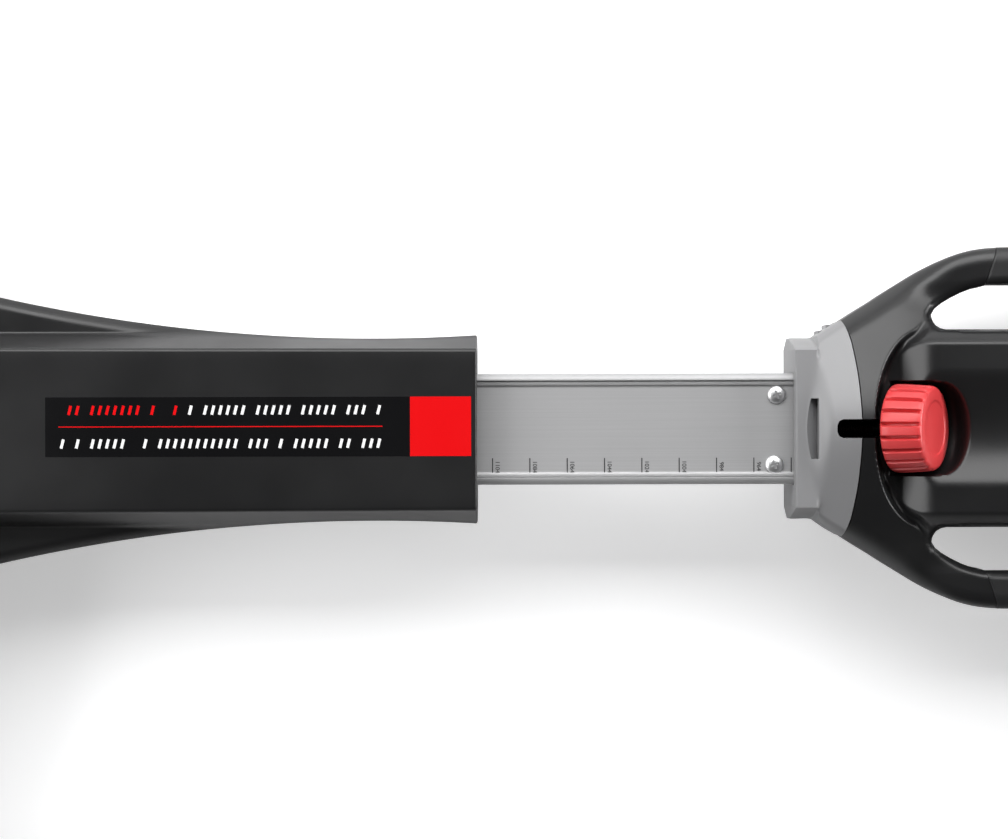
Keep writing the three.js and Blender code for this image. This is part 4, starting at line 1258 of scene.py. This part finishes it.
def softened(name, node, look, width, segments=2):
    """A rounded copy of a CAD piece: its flat faces merged and its edges bevelled."""
    shape = bmesh.new()
    shape.from_mesh(nodes[node].data)
    bmesh.ops.remove_doubles(shape, verts=shape.verts, dist=side_weld)
    bmesh.ops.dissolve_limit(shape, angle_limit=math.radians(1), verts=shape.verts, edges=shape.edges)
    mesh = bpy.data.meshes.new(name)
    shape.to_mesh(mesh)
    shape.free()
    piece = in_scene(name, mesh)
    rounded(piece, width, segments)
    finish_faces(piece, look, 40)
    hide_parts(node)
    return piece


soft_edge = 0.5 * mm
glide = softened("rail_glide_block", "rail_glide", black_plastic, soft_edge)
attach(glide, "rail_carrier")


# Base covers: moulded lids let into the undersides of the two housings. Cross ribs stiffen each
# lid, and six button head screws hold it.
def screw_row_tree(name, look):
    """Button heads with a six-sided recess, in a row, facing down or to a side."""
    numbers = {"Count": 3, "First X": 0.0, "First Y": 0.0, "First Z": 0.0, "Step X": 0.02, "Step Z": 0.0,
               "Tilt": math.pi, "Radius": 0.003, "Height": 0.0015, "Recess": 0.0014}
    tree, start, end, identifiers = geometry_tree(name, numbers)
    crown = new_node(tree, "ShaderNodeMath", {1: 0.72}, operation="MULTIPLY")
    head = new_node(tree, "GeometryNodeMeshCone", {"Vertices": 28})
    socket = new_node(tree, "GeometryNodeMeshCylinder", {"Vertices": 6})
    raised = new_node(tree, "GeometryNodeTransform")
    hollow = new_node(tree, "GeometryNodeMeshBoolean", operation="DIFFERENCE")
    wire(tree, (start, "Radius", head, "Radius Bottom"), (start, "Radius", crown, 0),
         (crown, "Value", head, "Radius Top"), (start, "Height", head, "Depth"),
         (start, "Recess", socket, "Radius"), (start, "Height", socket, "Depth"),
         (socket, "Mesh", raised, "Geometry"),
         (vector_of(tree, start, Z="Height"), "Vector", raised, "Translation"),
         (head, "Mesh", hollow, "Mesh 1"), (raised, "Geometry", hollow, "Mesh 2"))
    row = row_points(tree, start, vector_of(tree, start, X="First X", Y="First Y", Z="First Z"),
                     vector_of(tree, start, X="Step X", Z="Step Z"))
    placed = spread(tree, end, look, row, "Mesh", hollow)
    wire(tree, (vector_of(tree, start, X="Tilt"), "Vector", placed, "Rotation"))
    return tree, identifiers


screw_tree, screw_inputs = screw_row_tree("button_head_screws", turned_steel)
screw_depth = 1.6 * mm
cover_screw_inset = 10 * mm
cover_screw_half = 30 * mm
cover_screw_z = 34.4 * mm
rib_spacing = 12 * mm
rib_width = 2 * mm
rib_length = 46 * mm
rib_thickness = 1.2 * mm
rib_z = 35.2 * mm
covers = {"front": (-449.7 * mm, -150.3 * mm, dark_plastic, "front_frame"),
          "rear": (113.1 * mm, 285.7 * mm, black_plastic, "rear_frame")}
for end_name, (x0, x1, look, body) in covers.items():
    cover = softened(f"{end_name}_lid", f"{end_name}_base_cover", look, soft_edge)
    rib_tree, rib_inputs = row_tree(f"{end_name}_lid_ribs", look)
    ribs = grown(f"{end_name}_lid_ribs", rib_tree, rib_inputs, {
        "Count": int((x1 - x0) / rib_spacing) - 3, "First X": x0 + 2 * rib_spacing, "Spacing": rib_spacing,
        "Middle Y": 0.0, "Middle Z": rib_z, "Width": rib_width, "Length": rib_length,
        "Thickness": rib_thickness})
    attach(cover, body)
    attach(ribs, body)
    rows = []
    for side_y in (-cover_screw_half, cover_screw_half):
        rows.append(grown(f"{end_name}_lid_screw_row", screw_tree, screw_inputs, {
            "Count": 3, "First X": x0 + cover_screw_inset, "First Y": side_y, "First Z": cover_screw_z,
            "Step X": (x1 - x0) / 2 - cover_screw_inset, "Tilt": math.pi, "Height": screw_depth}))
    screws = joined(f"{end_name}_lid_screws", rows)
    finish_faces(screws, turned_steel, 30)
    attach(screws, body)

# Label: a thin black foil on the front body's flat top, with a red field at its end. The lettering
# is left out; two rows of plain slanted strokes stand in its place.
label_black = moulded_look("label_foil", (0.003, 0.003, 0.0035), (0.004, 0.004, 0.0045), 0.2, 2600, 0.00001)
label_red = moulded_look("label_red_ink", (0.66, 0.002, 0.004), (0.7, 0.004, 0.006), 0.22, 2600, 0.00001)
label_start = -367 * mm
label_split = -173.4 * mm
label_end = -141 * mm
label_low = -14 * mm
label_high = 17.6 * mm
label_thickness = 0.15 * mm
label_foot = 94.9 * mm
line_start = -360 * mm
line_end = -188 * mm
line_y = 1.9 * mm
line_half = 0.25 * mm
foil = block("label_foil", label_start, label_split, label_low, label_high, label_foot,
             front_top + label_thickness)
field = block("label_field", label_split, label_end, label_low, label_high, label_foot,
              front_top + label_thickness)
line = block("label_line", line_start, line_end, line_y - line_half, line_y + line_half, front_top,
             front_top + 1.3 * label_thickness)
finish_faces(foil, label_black)
finish_faces(field, label_red)
finish_faces(line, label_red)
label_base = joined("label", [foil, field, line])
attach(label_base, "front_frame")


def stroke_tree(name, look):
    """A row of slanted strokes, some of them left out by a fixed chance."""
    numbers = {"Count": 40, "First X": 0.0, "Spacing": 0.004, "Middle Y": 0.0, "Middle Z": 0.0,
               "Width": 0.001, "Length": 0.006, "Thickness": 0.0001, "Slant": 0.3, "Seed": 1}
    tree, start, end, identifiers = geometry_tree(name, numbers)
    row = row_points(tree, start, vector_of(tree, start, X="First X", Y="Middle Y", Z="Middle Z"),
                     vector_of(tree, start, X="Spacing"))
    kept = new_node(tree, "FunctionNodeRandomValue", {"Probability": 0.8}, data_type="BOOLEAN")
    placed = spread(tree, end, look, row, "Mesh", bar_shape(tree, start, "Width", "Length", "Thickness"))
    wire(tree, (start, "Seed", kept, "Seed"), (kept, 3, placed, "Selection"),
         (vector_of(tree, start, Z="Slant"), "Vector", placed, "Rotation"))
    return tree, identifiers


white_ink = moulded_look("label_white_ink", (0.75, 0.75, 0.75), (0.82, 0.82, 0.82), 0.5, 2600, 0.00001)
white_tree, white_inputs = stroke_tree("white_strokes", white_ink)
red_tree, red_inputs = stroke_tree("red_strokes", label_red)
stroke_start = -358 * mm
stroke_spacing = 4 * mm
stroke_width = 1.5 * mm
stroke_length = 5 * mm
stroke_thickness = 0.1 * mm
stroke_slant = math.radians(-14)
upper_row_y = 10.7 * mm
lower_row_y = -7.1 * mm
stroke_rows = [(red_tree, red_inputs, 0, 16, upper_row_y, 3),
               (white_tree, white_inputs, 17, 26, upper_row_y, 5),
               (white_tree, white_inputs, 0, 43, lower_row_y, 7)]
stroke_pieces = []
for tree, identifiers, skipped, count, row_y, seed in stroke_rows:
    stroke_pieces.append(grown(f"label_strokes_{seed}", tree, identifiers, {
        "Count": count, "First X": stroke_start + skipped * stroke_spacing, "Spacing": stroke_spacing,
        "Middle Y": row_y, "Middle Z": front_top + label_thickness, "Width": stroke_width,
        "Length": stroke_length, "Thickness": stroke_thickness, "Slant": stroke_slant, "Seed": seed}))
strokes = joined("label_strokes", stroke_pieces)
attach(strokes, "front_frame")

# Grips: soft sleeves moulded round the carrying handles, flush with them, with slanted ends and a
# thin seam. The handle's core runs through each sleeve.
soft_rubber = moulded_look("soft_rubber", (0.009, 0.009, 0.0095), (0.014, 0.014, 0.0145), 0.5, 1500, 0.00008)
grip_start = 141 * mm
grip_end = 214.6 * mm
grip_middle = 88.3 * mm
grip_half = 9.9 * mm
grip_slant = 0.33
grip_seam = 0.35 * mm
grip_chamfer = 0.3 * mm
core_half = 6 * mm
core_low = 49 * mm
core_high = 63 * mm
core_start = 120 * mm
core_end = 240 * mm
grip_proud = 0.05 * mm
grip_belly = 1.5 * mm
seam_reach = 13.9 * mm
grip_pocket_low = 40 * mm
grip_pocket_high = 76 * mm


def grip_piece(name, sign):
    """A sleeve that follows the handle's own surface between two slanted ends."""
    columns = [0.0, 0.006] + even_steps(0.02, 0.98, 32) + [0.994, 1.0]
    lanes = even_steps(-1, 1, 36)

    def top_point(share, lane):
        """A point of the sleeve's outer face."""
        away = grip_middle + grip_half * lane
        slant = grip_slant * (away - grip_middle)
        x = grip_start + slant + (grip_end - grip_start - 2 * slant) * share
        edge_drop = grip_chamfer if share in (0.0, 1.0) else 0.0
        return (x, sign * away, rear_surface(x, away) - edge_drop + grip_proud)

    def low_point(share, lane):
        """A point of the sleeve's underside, which sags towards its edges."""
        x, y, _ = top_point(share, lane)
        return (x, y, handle_bottom + grip_belly * lane ** 4)

    return moulding(name, columns, lanes, top_point, None, low_point)


for side, sign in (("left", 1), ("right", -1)):
    seam_plan = []
    for x, outward, way in ((grip_start - grip_seam, -1, -1), (grip_end + grip_seam, 1, -1),
                            (grip_end + grip_seam, -1, 1), (grip_start - grip_seam, 1, 1)):
        seam_plan.append((x + outward * grip_slant * seam_reach, sign * (grip_middle + way * seam_reach)))
    core_limits = (core_start, core_end, sign * grip_middle - core_half, sign * grip_middle + core_half,
                   core_low, core_high)
    pocket = prism(f"grip_pocket_{side}", seam_plan, grip_pocket_low, grip_pocket_high)
    carve(pocket, [block("core", *core_limits)])
    carve(rear_body, [pocket])
    sleeve = grip_piece(f"soft_grip_{side}", sign)
    carve(sleeve, [block("bore", *core_limits)])
    finish_faces(sleeve, soft_rubber, 45)
    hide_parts(f"grip_{side}")
    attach(sleeve, "rear_frame")
finish_faces(rear_body, black_plastic, 40)

# Arms: side plates cut from aluminium, with a shallow pocket outside, bolted to the yokes and to
# the cross member between the rear drums.
arm_metal = metal_look("brushed_arm_metal", (0.34, 0.34, 0.35), (0.44, 0.44, 0.45), 0.38,
                       (9.0, 1500.0, 1500.0))
arm_outer = 265 * mm
pocket_depth = 2.5 * mm
pocket_half = 13 * mm
axle_height = 90 * mm
arm_pockets = {"front": in_metres([(-592, -532)]), "rear": in_metres([(316, 342), (395, 592)])}
bolt_places = {"front": [((-508, 92), (20, 0)), ((-508, 58), (20, 0))],
               "rear": [((266, 78), (18, 0)), ((266, 55), (18, 0)), ((470, 47), (47, 0))]}
bolt_radius = 6 * mm
bolt_height = 3.2 * mm
bolt_recess = 2.9 * mm
bolt_lift = 1.4 * mm


def capsule(x0, x1, z, radius):
    """A long round-ended outline in side view."""
    return half_round(x1, z, radius, -90) + half_round(x0, z, radius, 90)


for end_name, pockets in arm_pockets.items():
    for side, sign in (("left", 1), ("right", -1)):
        arm = softened(f"{end_name}_side_plate_{side}", f"{end_name}_arm_{side}", arm_metal, soft_edge)
        low_y, high_y = sorted((sign * (arm_outer - pocket_depth), sign * (arm_outer + cut_past)))
        outlines = [capsule(x0 + pocket_half, x1 - pocket_half, axle_height, pocket_half)
                    for x0, x1 in pockets]
        carve(arm, [side_prism("pocket", outline, low_y, high_y) for outline in outlines])
        finish_faces(arm, arm_metal, 35)
        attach(arm, f"{end_name}_frame")
        rows = []
        for places in bolt_places[end_name]:
            (x, z), (step_x, step_z) = in_metres(places)
            rows.append(grown("arm_bolt_row", screw_tree, screw_inputs, {
                "Count": 2, "First X": x, "First Y": sign * (arm_outer + bolt_lift), "First Z": z,
                "Step X": step_x, "Step Z": step_z, "Tilt": -sign * math.pi / 2, "Radius": bolt_radius,
                "Height": bolt_height, "Recess": bolt_recess}))
        bolts = joined(f"{end_name}_arm_bolts_{side}", rows)
        finish_faces(bolts, turned_steel, 30)
        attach(bolts, f"{end_name}_frame")

# Cross member: a channel folded from aluminium sheet that runs between the two rear drums. It
# ties the two rear arms together and is bolted to both.
cross_edge = 1.2 * mm
cross = softened("cross_channel", "rear_cross_member", arm_metal, cross_edge, 3)
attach(cross, "rear_frame")

# Axles: long turned steel bolts that don't turn, one for each drum. Each has a six-sided head
# outside one arm, and a thread with a six-sided nut outside the other.
axle_places = {"front": (-618.5 * mm, "front_frame"), "drive": (368.5 * mm, "rear_frame"),
               "back": (618.5 * mm, "rear_frame")}
axle_radius = 5 * mm
head_radius = 9 * mm
head_inner = 265.3 * mm
head_outer = 271.3 * mm
axle_thread = 1.2 * mm
axle_thread_start = 253 * mm
axle_chamfer = 0.8 * mm
crest_drop = 0.1 * mm
hex_edge = 0.6 * mm
shaft_end = 1 * mm
nut_clearance = 0.3 * mm


def hexagon(x, z, radius):
    """Six corners in side view, with a flat side up."""
    turns = [math.radians(60 * step) for step in range(6)]
    return [(x + radius * math.cos(turn), z + radius * math.sin(turn)) for turn in turns]


for axle_name, (x, body) in axle_places.items():
    shaft_profile = [(0, -head_inner - shaft_end), (axle_radius, -head_inner - shaft_end),
                     (axle_radius, axle_thread_start - shaft_end)]
    for step in range(15):
        radius = axle_radius - (thread_depth if step % 2 else crest_drop)
        shaft_profile.append((radius, axle_thread_start + step * axle_thread))
    shaft_profile += [(axle_radius - axle_chamfer, head_outer), (0, head_outer)]
    shaft = turned_y(f"{axle_name}_shaft", shaft_profile, 40, x, 0, axle_height, turned_steel)
    head = side_prism(f"{axle_name}_head", hexagon(x, axle_height, head_radius), -head_outer, -head_inner)
    rounded(head, hex_edge)
    finish_faces(head, turned_steel, 30)
    whole = joined(f"{axle_name}_axle_bolt", [shaft, head])
    finish_faces(whole, turned_steel, 30)
    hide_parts(f"{axle_name}_axle")
    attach(whole, body)
    nut = side_prism(f"{axle_name}_hex_nut", hexagon(x, axle_height, head_radius), head_inner, head_outer)
    nut_bore = full_round(x, axle_height, axle_radius + nut_clearance)
    carve(nut, [side_prism("nut_bore", nut_bore, head_inner - cut_past, head_outer + cut_past)])
    rounded(nut, hex_edge)
    finish_faces(nut, turned_steel, 30)
    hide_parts(f"{axle_name}_axle_nut")
    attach(nut, body)

# Drums: three turned aluminium tubes that narrow to a waist, so the bicycle's wheel finds the
# middle. The band at one end is the belt's track.
drum_metal = metal_look("turned_drum_metal", (0.34, 0.34, 0.345), (0.42, 0.42, 0.425), 0.4,
                        (2.0, 1500.0, 2.0), 0.00002, wear=0.03)
drum_half = 245 * mm
drum_end = 62.5 * mm
drum_waist = 53 * mm
drum_edge = 0.8 * mm
drum_track = 60.5 * mm
drum_seat = 57.5 * mm
drum_bore = 50 * mm
track_start = -242 * mm
track_end = -230 * mm
waist_reach = 233 * mm
rim_start = 235 * mm
seat_depth_y = 225 * mm
bore_start = 205 * mm
drum_profile = [(drum_end - drum_edge, -drum_half), (drum_end, drum_edge - drum_half),
                (drum_end, track_start), (drum_track, track_start), (drum_track, track_end),
                (drum_end, track_end)]
for share in even_steps(-0.9, 0.9, 36):
    drum_profile.append((drum_waist + (drum_end - drum_waist) * share ** 2, share * waist_reach))
drum_profile += [(drum_end, rim_start), (drum_end, drum_half - drum_edge), (drum_end - drum_edge, drum_half),
                 (drum_seat, drum_half), (drum_seat, seat_depth_y), (drum_bore, bore_start),
                 (drum_bore, -bore_start), (drum_seat, -seat_depth_y), (drum_seat, -drum_half)]
roller_bodies = {"front": "front_roller", "drive": "drive_roller", "back": "back_roller"}
for axle_name, (x, _) in axle_places.items():
    drum = turned_y(f"{axle_name}_turned_drum", drum_profile, 128, x, 0, axle_height, drum_metal)
    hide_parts(f"{axle_name}_drum")
    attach(drum, roller_bodies[axle_name])


# Drum caps: moulded discs pressed into both ends of each drum. A hub in the middle holds the
# bearing, and ribs run from the hub out to the rim.
def spoke_tree(name, look):
    """Like ribs in a ring about a line along Y, each pointing outwards."""
    numbers = {"Count": 12, "Radius": 0.036, "Reach": 0.036, "Width": 0.0025, "Depth": 0.005,
               "Middle X": 0.0, "Middle Y": 0.0, "Middle Z": 0.0}
    tree, start, end, identifiers = geometry_tree(name, numbers)
    ring = new_node(tree, "GeometryNodeMeshCircle")
    place = new_node(tree, "GeometryNodeInputIndex")
    share = new_node(tree, "ShaderNodeMath", operation="DIVIDE")
    turn = new_node(tree, "ShaderNodeMath", {1: 2 * math.pi}, operation="MULTIPLY")
    turned = new_node(tree, "ShaderNodeCombineXYZ")
    stood = new_node(tree, "GeometryNodeTransform", {"Rotation": (math.pi / 2, 0, 0)})
    middle = vector_of(tree, start, X="Middle X", Y="Middle Y", Z="Middle Z")
    placed = spread(tree, end, look, ring, "Mesh", bar_shape(tree, start, "Reach", "Width", "Depth"), stood)
    wire(tree, (start, "Count", ring, "Vertices"), (start, "Radius", ring, "Radius"),
         (place, "Index", share, 0), (start, "Count", share, 1), (share, "Value", turn, 0),
         (turn, "Value", turned, "Z"), (turned, "Vector", placed, "Rotation"),
         (middle, "Vector", stood, "Translation"))
    return tree, identifiers


cap_rim = 57.2 * mm
cap_wall = 4 * mm
cap_web = 4 * mm
cap_depth = 10 * mm
cap_hub = 18 * mm
cap_bore = 13.3 * mm
cap_soft = 0.5 * mm
cap_inner_y = 233 * mm
spoke_count = 12
spoke_width = 2.5 * mm
spoke_depth = 5 * mm
spoke_overlap = 1 * mm
spoke_lift = 2 * mm
cap_profile = [(cap_rim, cap_soft), (cap_rim, cap_depth - cap_soft), (cap_rim - cap_soft, cap_depth),
               (cap_rim - cap_wall + cap_soft, cap_depth), (cap_rim - cap_wall, cap_depth - cap_soft),
               (cap_rim - cap_wall, cap_web), (cap_hub, cap_web), (cap_hub, cap_depth - cap_soft),
               (cap_hub - cap_soft, cap_depth), (cap_bore, cap_depth), (cap_bore, 0), (cap_rim - cap_soft, 0)]
spoke_nodes, spoke_inputs = spoke_tree("cap_ribs", black_plastic)
for axle_name, (x, _) in axle_places.items():
    for side, sign in (("left", 1), ("right", -1)):
        side_profile = [(radius, sign * (cap_inner_y + along)) for radius, along in cap_profile]
        disc = turned_y("cap_disc", side_profile, 96, x, 0, axle_height, black_plastic)
        ribs = grown("cap_ribs", spoke_nodes, spoke_inputs, {
            "Count": spoke_count, "Radius": (cap_hub + cap_rim - cap_wall) / 2,
            "Reach": cap_rim - cap_wall - cap_hub + spoke_overlap, "Width": spoke_width, "Depth": spoke_depth,
            "Middle X": x, "Middle Y": sign * (cap_inner_y + cap_web + spoke_lift), "Middle Z": axle_height})
        cap = joined(f"{axle_name}_ribbed_cap_{side}", [disc, ribs])
        finish_faces(cap, black_plastic, 30)
        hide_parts(f"{axle_name}_drum_cap_{side}")
        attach(cap, roller_bodies[axle_name])

# Bearings: sealed steel ball bearings pressed into the hubs of the drum caps, two for each drum.
# Their shields lie a little below the rings on both faces.
bearing_half = 4 * mm
shield_depth = 0.5 * mm
bearing_y = 238 * mm
bearing_side = [(5.3, 0.0), (7.4, 0.0), (7.6, 1.0), (10.9, 1.0), (11.1, 0.0), (12.6, 0.0), (13, 0.8)]
bearing_profile = [(radius * mm, bearing_half - shield_depth * low) for radius, low in bearing_side]
bearing_profile += [(radius, -along) for radius, along in bearing_profile[::-1]]
for axle_name, (x, _) in axle_places.items():
    for side, sign in (("left", 1), ("right", -1)):
        bearing = turned_y(f"{axle_name}_sealed_bearing_{side}", bearing_profile, 64, x, sign * bearing_y,
                           axle_height, turned_steel)
        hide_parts(f"{axle_name}_bearing_{side}")
        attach(bearing, roller_bodies[axle_name])

# Drive belt: one flat belt round the front drum and the first rear drum. It is drawn as a front and
# a rear length that overlap, so that it shortens where the rail slides.
belt_rubber = moulded_look("belt_rubber", (0.007, 0.007, 0.007), (0.012, 0.012, 0.012), 0.55, 1800, 0.00006)
belt_low = -241 * mm
belt_high = -231 * mm
belt_radius = 62.3 * mm
belt_half = 1.5 * mm
belt_join = -170 * mm
belt_overlap = 20 * mm
belt_corner = 0.5 * mm
belt_inset = 0.3 * mm
belt_knee_x = -400 * mm
belt_fold_x = 200 * mm
front_axle_x = axle_places["front"][0]
drive_axle_x = axle_places["drive"][0]
fold_start = 80 * mm
fold_end = 20 * mm


def belt_length(name, middle_line, half, inset):
    """A flat belt's closed skin along a line in side view of points and outward ways."""
    low = belt_low + inset
    high = belt_high - inset
    section = [(-half, low + belt_corner), (-half + belt_corner, low), (half - belt_corner, low),
               (half, low + belt_corner), (half, high - belt_corner), (half - belt_corner, high),
               (-half + belt_corner, high), (-half, high - belt_corner)]
    points = []
    for x, z, out_x, out_z in middle_line:
        points += [(x + out_x * away, y, z + out_z * away) for away, y in section]
    piece = skin(name, points, len(section))
    finish_faces(piece, belt_rubber, 50)
    return piece


def belt_arc(x, start):
    """The belt's way round a drum, from a starting angle through half a turn."""
    turns = [math.radians(start + 180 * step / 64) for step in range(65)]
    return [(x + belt_radius * math.cos(turn), axle_height + belt_radius * math.sin(turn),
             math.cos(turn), math.sin(turn)) for turn in turns]


def belt_run(places, side):
    """A straight run of the belt, above the drums or under them."""
    return [(x, axle_height + side * belt_radius, 0, side) for x in places]


front_line = belt_run([belt_join + belt_overlap, belt_knee_x], 1) + belt_arc(front_axle_x, 90)
front_line += belt_run([belt_knee_x, belt_join + belt_overlap], -1)
front_belt = belt_length("front_belt_length", front_line, belt_half, 0)
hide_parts("drive_belt")
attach(front_belt, "front_frame")
fold_places = even_steps(fold_start, fold_end, 60)
rear_places = [belt_join - belt_overlap] + fold_places[::-1] + [belt_fold_x]
rear_line = belt_run(rear_places, -1) + belt_arc(drive_axle_x, -90) + belt_run(rear_places[::-1], 1)
rear_belt = belt_length("rear_belt_length", rear_line, belt_half - belt_inset, belt_inset)
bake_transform(rear_belt)

# Feet: moulded floor bars with cheeks that carry two grooved wheels each on turned pins. The
# frame rolls to and fro on these wheels while the rider pedals.
wheel_x = {"front": -509 * mm, "rear": 493.5 * mm}
foot_edge = 0.6 * mm
wheel_y = 150 * mm
wheel_height = 22.7 * mm
wheel_profile = in_metres([(2.8, 6), (5, 6), (5.4, 5), (9, 5), (9.4, 6), (10.8, 6), (11.7, 5.4), (12, 4.4),
                           (12, 1.2), (11.5, 0.8)])
wheel_profile += [(radius, -along) for radius, along in wheel_profile[::-1]]
wheel_pin_radius = 2.5 * mm
wheel_pin_half = 11.6 * mm
wheel_pin_edge = 0.4 * mm
wheel_pin_side = [(0, wheel_pin_half), (wheel_pin_radius - wheel_pin_edge, wheel_pin_half),
                  (wheel_pin_radius, wheel_pin_half - wheel_pin_edge)]
wheel_pin_profile = wheel_pin_side + [(radius, -along) for radius, along in wheel_pin_side[::-1]]
for end_name, x in wheel_x.items():
    foot = softened(f"{end_name}_floor_bar", f"{end_name}_foot", black_plastic, foot_edge)
    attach(foot, f"{end_name}_floor_foot")
    for side, sign in (("left", 1), ("right", -1)):
        y = sign * wheel_y
        wheel = turned_y(f"{end_name}_grooved_wheel_{side}", wheel_profile, 64, x, y, wheel_height,
                         grey_plastic)
        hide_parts(f"{end_name}_wheel_{side}")
        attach(wheel, f"{end_name}_{side}_wheel")
        pin = turned_y(f"{end_name}_turned_wheel_pin_{side}", wheel_pin_profile, 32, x, y, wheel_height,
                       turned_steel)
        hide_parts(f"{end_name}_wheel_pin_{side}")
        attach(pin, f"{end_name}_floor_foot")


# Pads: moulded rubber soles with rounded corners, two under each floor bar. Rows of round studs
# stand out from each sole and rest on the floor.
def stud_tree(name, look):
    """Round studs in a grid, standing on the floor."""
    numbers = {"Middle X": 0.0, "Middle Y": 0.0, "Size X": 0.06, "Size Y": 0.046, "Across": 9, "Along": 7,
               "Radius": 0.0022, "Height": 0.002}
    tree, start, end, identifiers = geometry_tree(name, numbers)
    grid = new_node(tree, "GeometryNodeMeshGrid")
    stud = new_node(tree, "GeometryNodeMeshCylinder", {"Vertices": 16})
    half_height = new_node(tree, "ShaderNodeMath", {1: 0.5}, operation="MULTIPLY")
    middle = vector_of(tree, start, X="Middle X", Y="Middle Y")
    moved = new_node(tree, "GeometryNodeTransform")
    wire(tree, (start, "Size X", grid, "Size X"), (start, "Size Y", grid, "Size Y"),
         (start, "Across", grid, "Vertices X"), (start, "Along", grid, "Vertices Y"),
         (start, "Radius", stud, "Radius"), (start, "Height", stud, "Depth"),
         (start, "Height", half_height, 0), (half_height, "Value", middle, "Z"),
         (grid, "Mesh", moved, "Geometry"), (middle, "Vector", moved, "Translation"))
    spread(tree, end, look, moved, "Geometry", stud)
    return tree, identifiers


pad_half_x = 37 * mm
pad_y0 = 130 * mm
pad_y1 = 190 * mm
pad_corner = 10 * mm
pad_sole = 1.4 * mm
pad_top = 5.7 * mm
pad_middle_y = (pad_y0 + pad_y1) / 2
pad_half_y = (pad_y1 - pad_y0) / 2
pad_edge = 0.5 * mm
stud_margin = 7 * mm
stud_sunk = 0.6 * mm
stud_nodes, stud_inputs = stud_tree("sole_studs", soft_rubber)
for end_name, x in wheel_x.items():
    for side, sign in (("left", 1), ("right", -1)):
        middle_y = sign * pad_middle_y
        plan = []
        for quarter, (way_x, way_y) in enumerate(((1, 1), (-1, 1), (-1, -1), (1, -1))):
            for step in range(9):
                turn = math.radians(90 * quarter + 90 * step / 8)
                plan.append((x + way_x * (pad_half_x - pad_corner) + pad_corner * math.cos(turn),
                             middle_y + way_y * (pad_half_y - pad_corner) + pad_corner * math.sin(turn)))
        sole = prism("sole", plan, pad_sole, pad_top)
        rounded(sole, pad_edge)
        studs = grown("studs", stud_nodes, stud_inputs, {
            "Middle X": x, "Middle Y": middle_y, "Size X": 2 * (pad_half_x - stud_margin),
            "Size Y": 2 * (pad_half_y - stud_margin), "Height": pad_sole + stud_sunk})
        pad = joined(f"{end_name}_studded_pad_{side}", [sole, studs])
        finish_faces(pad, soft_rubber, 35)
        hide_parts(f"{end_name}_pad_{side}")
        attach(pad, f"{end_name}_floor_foot")
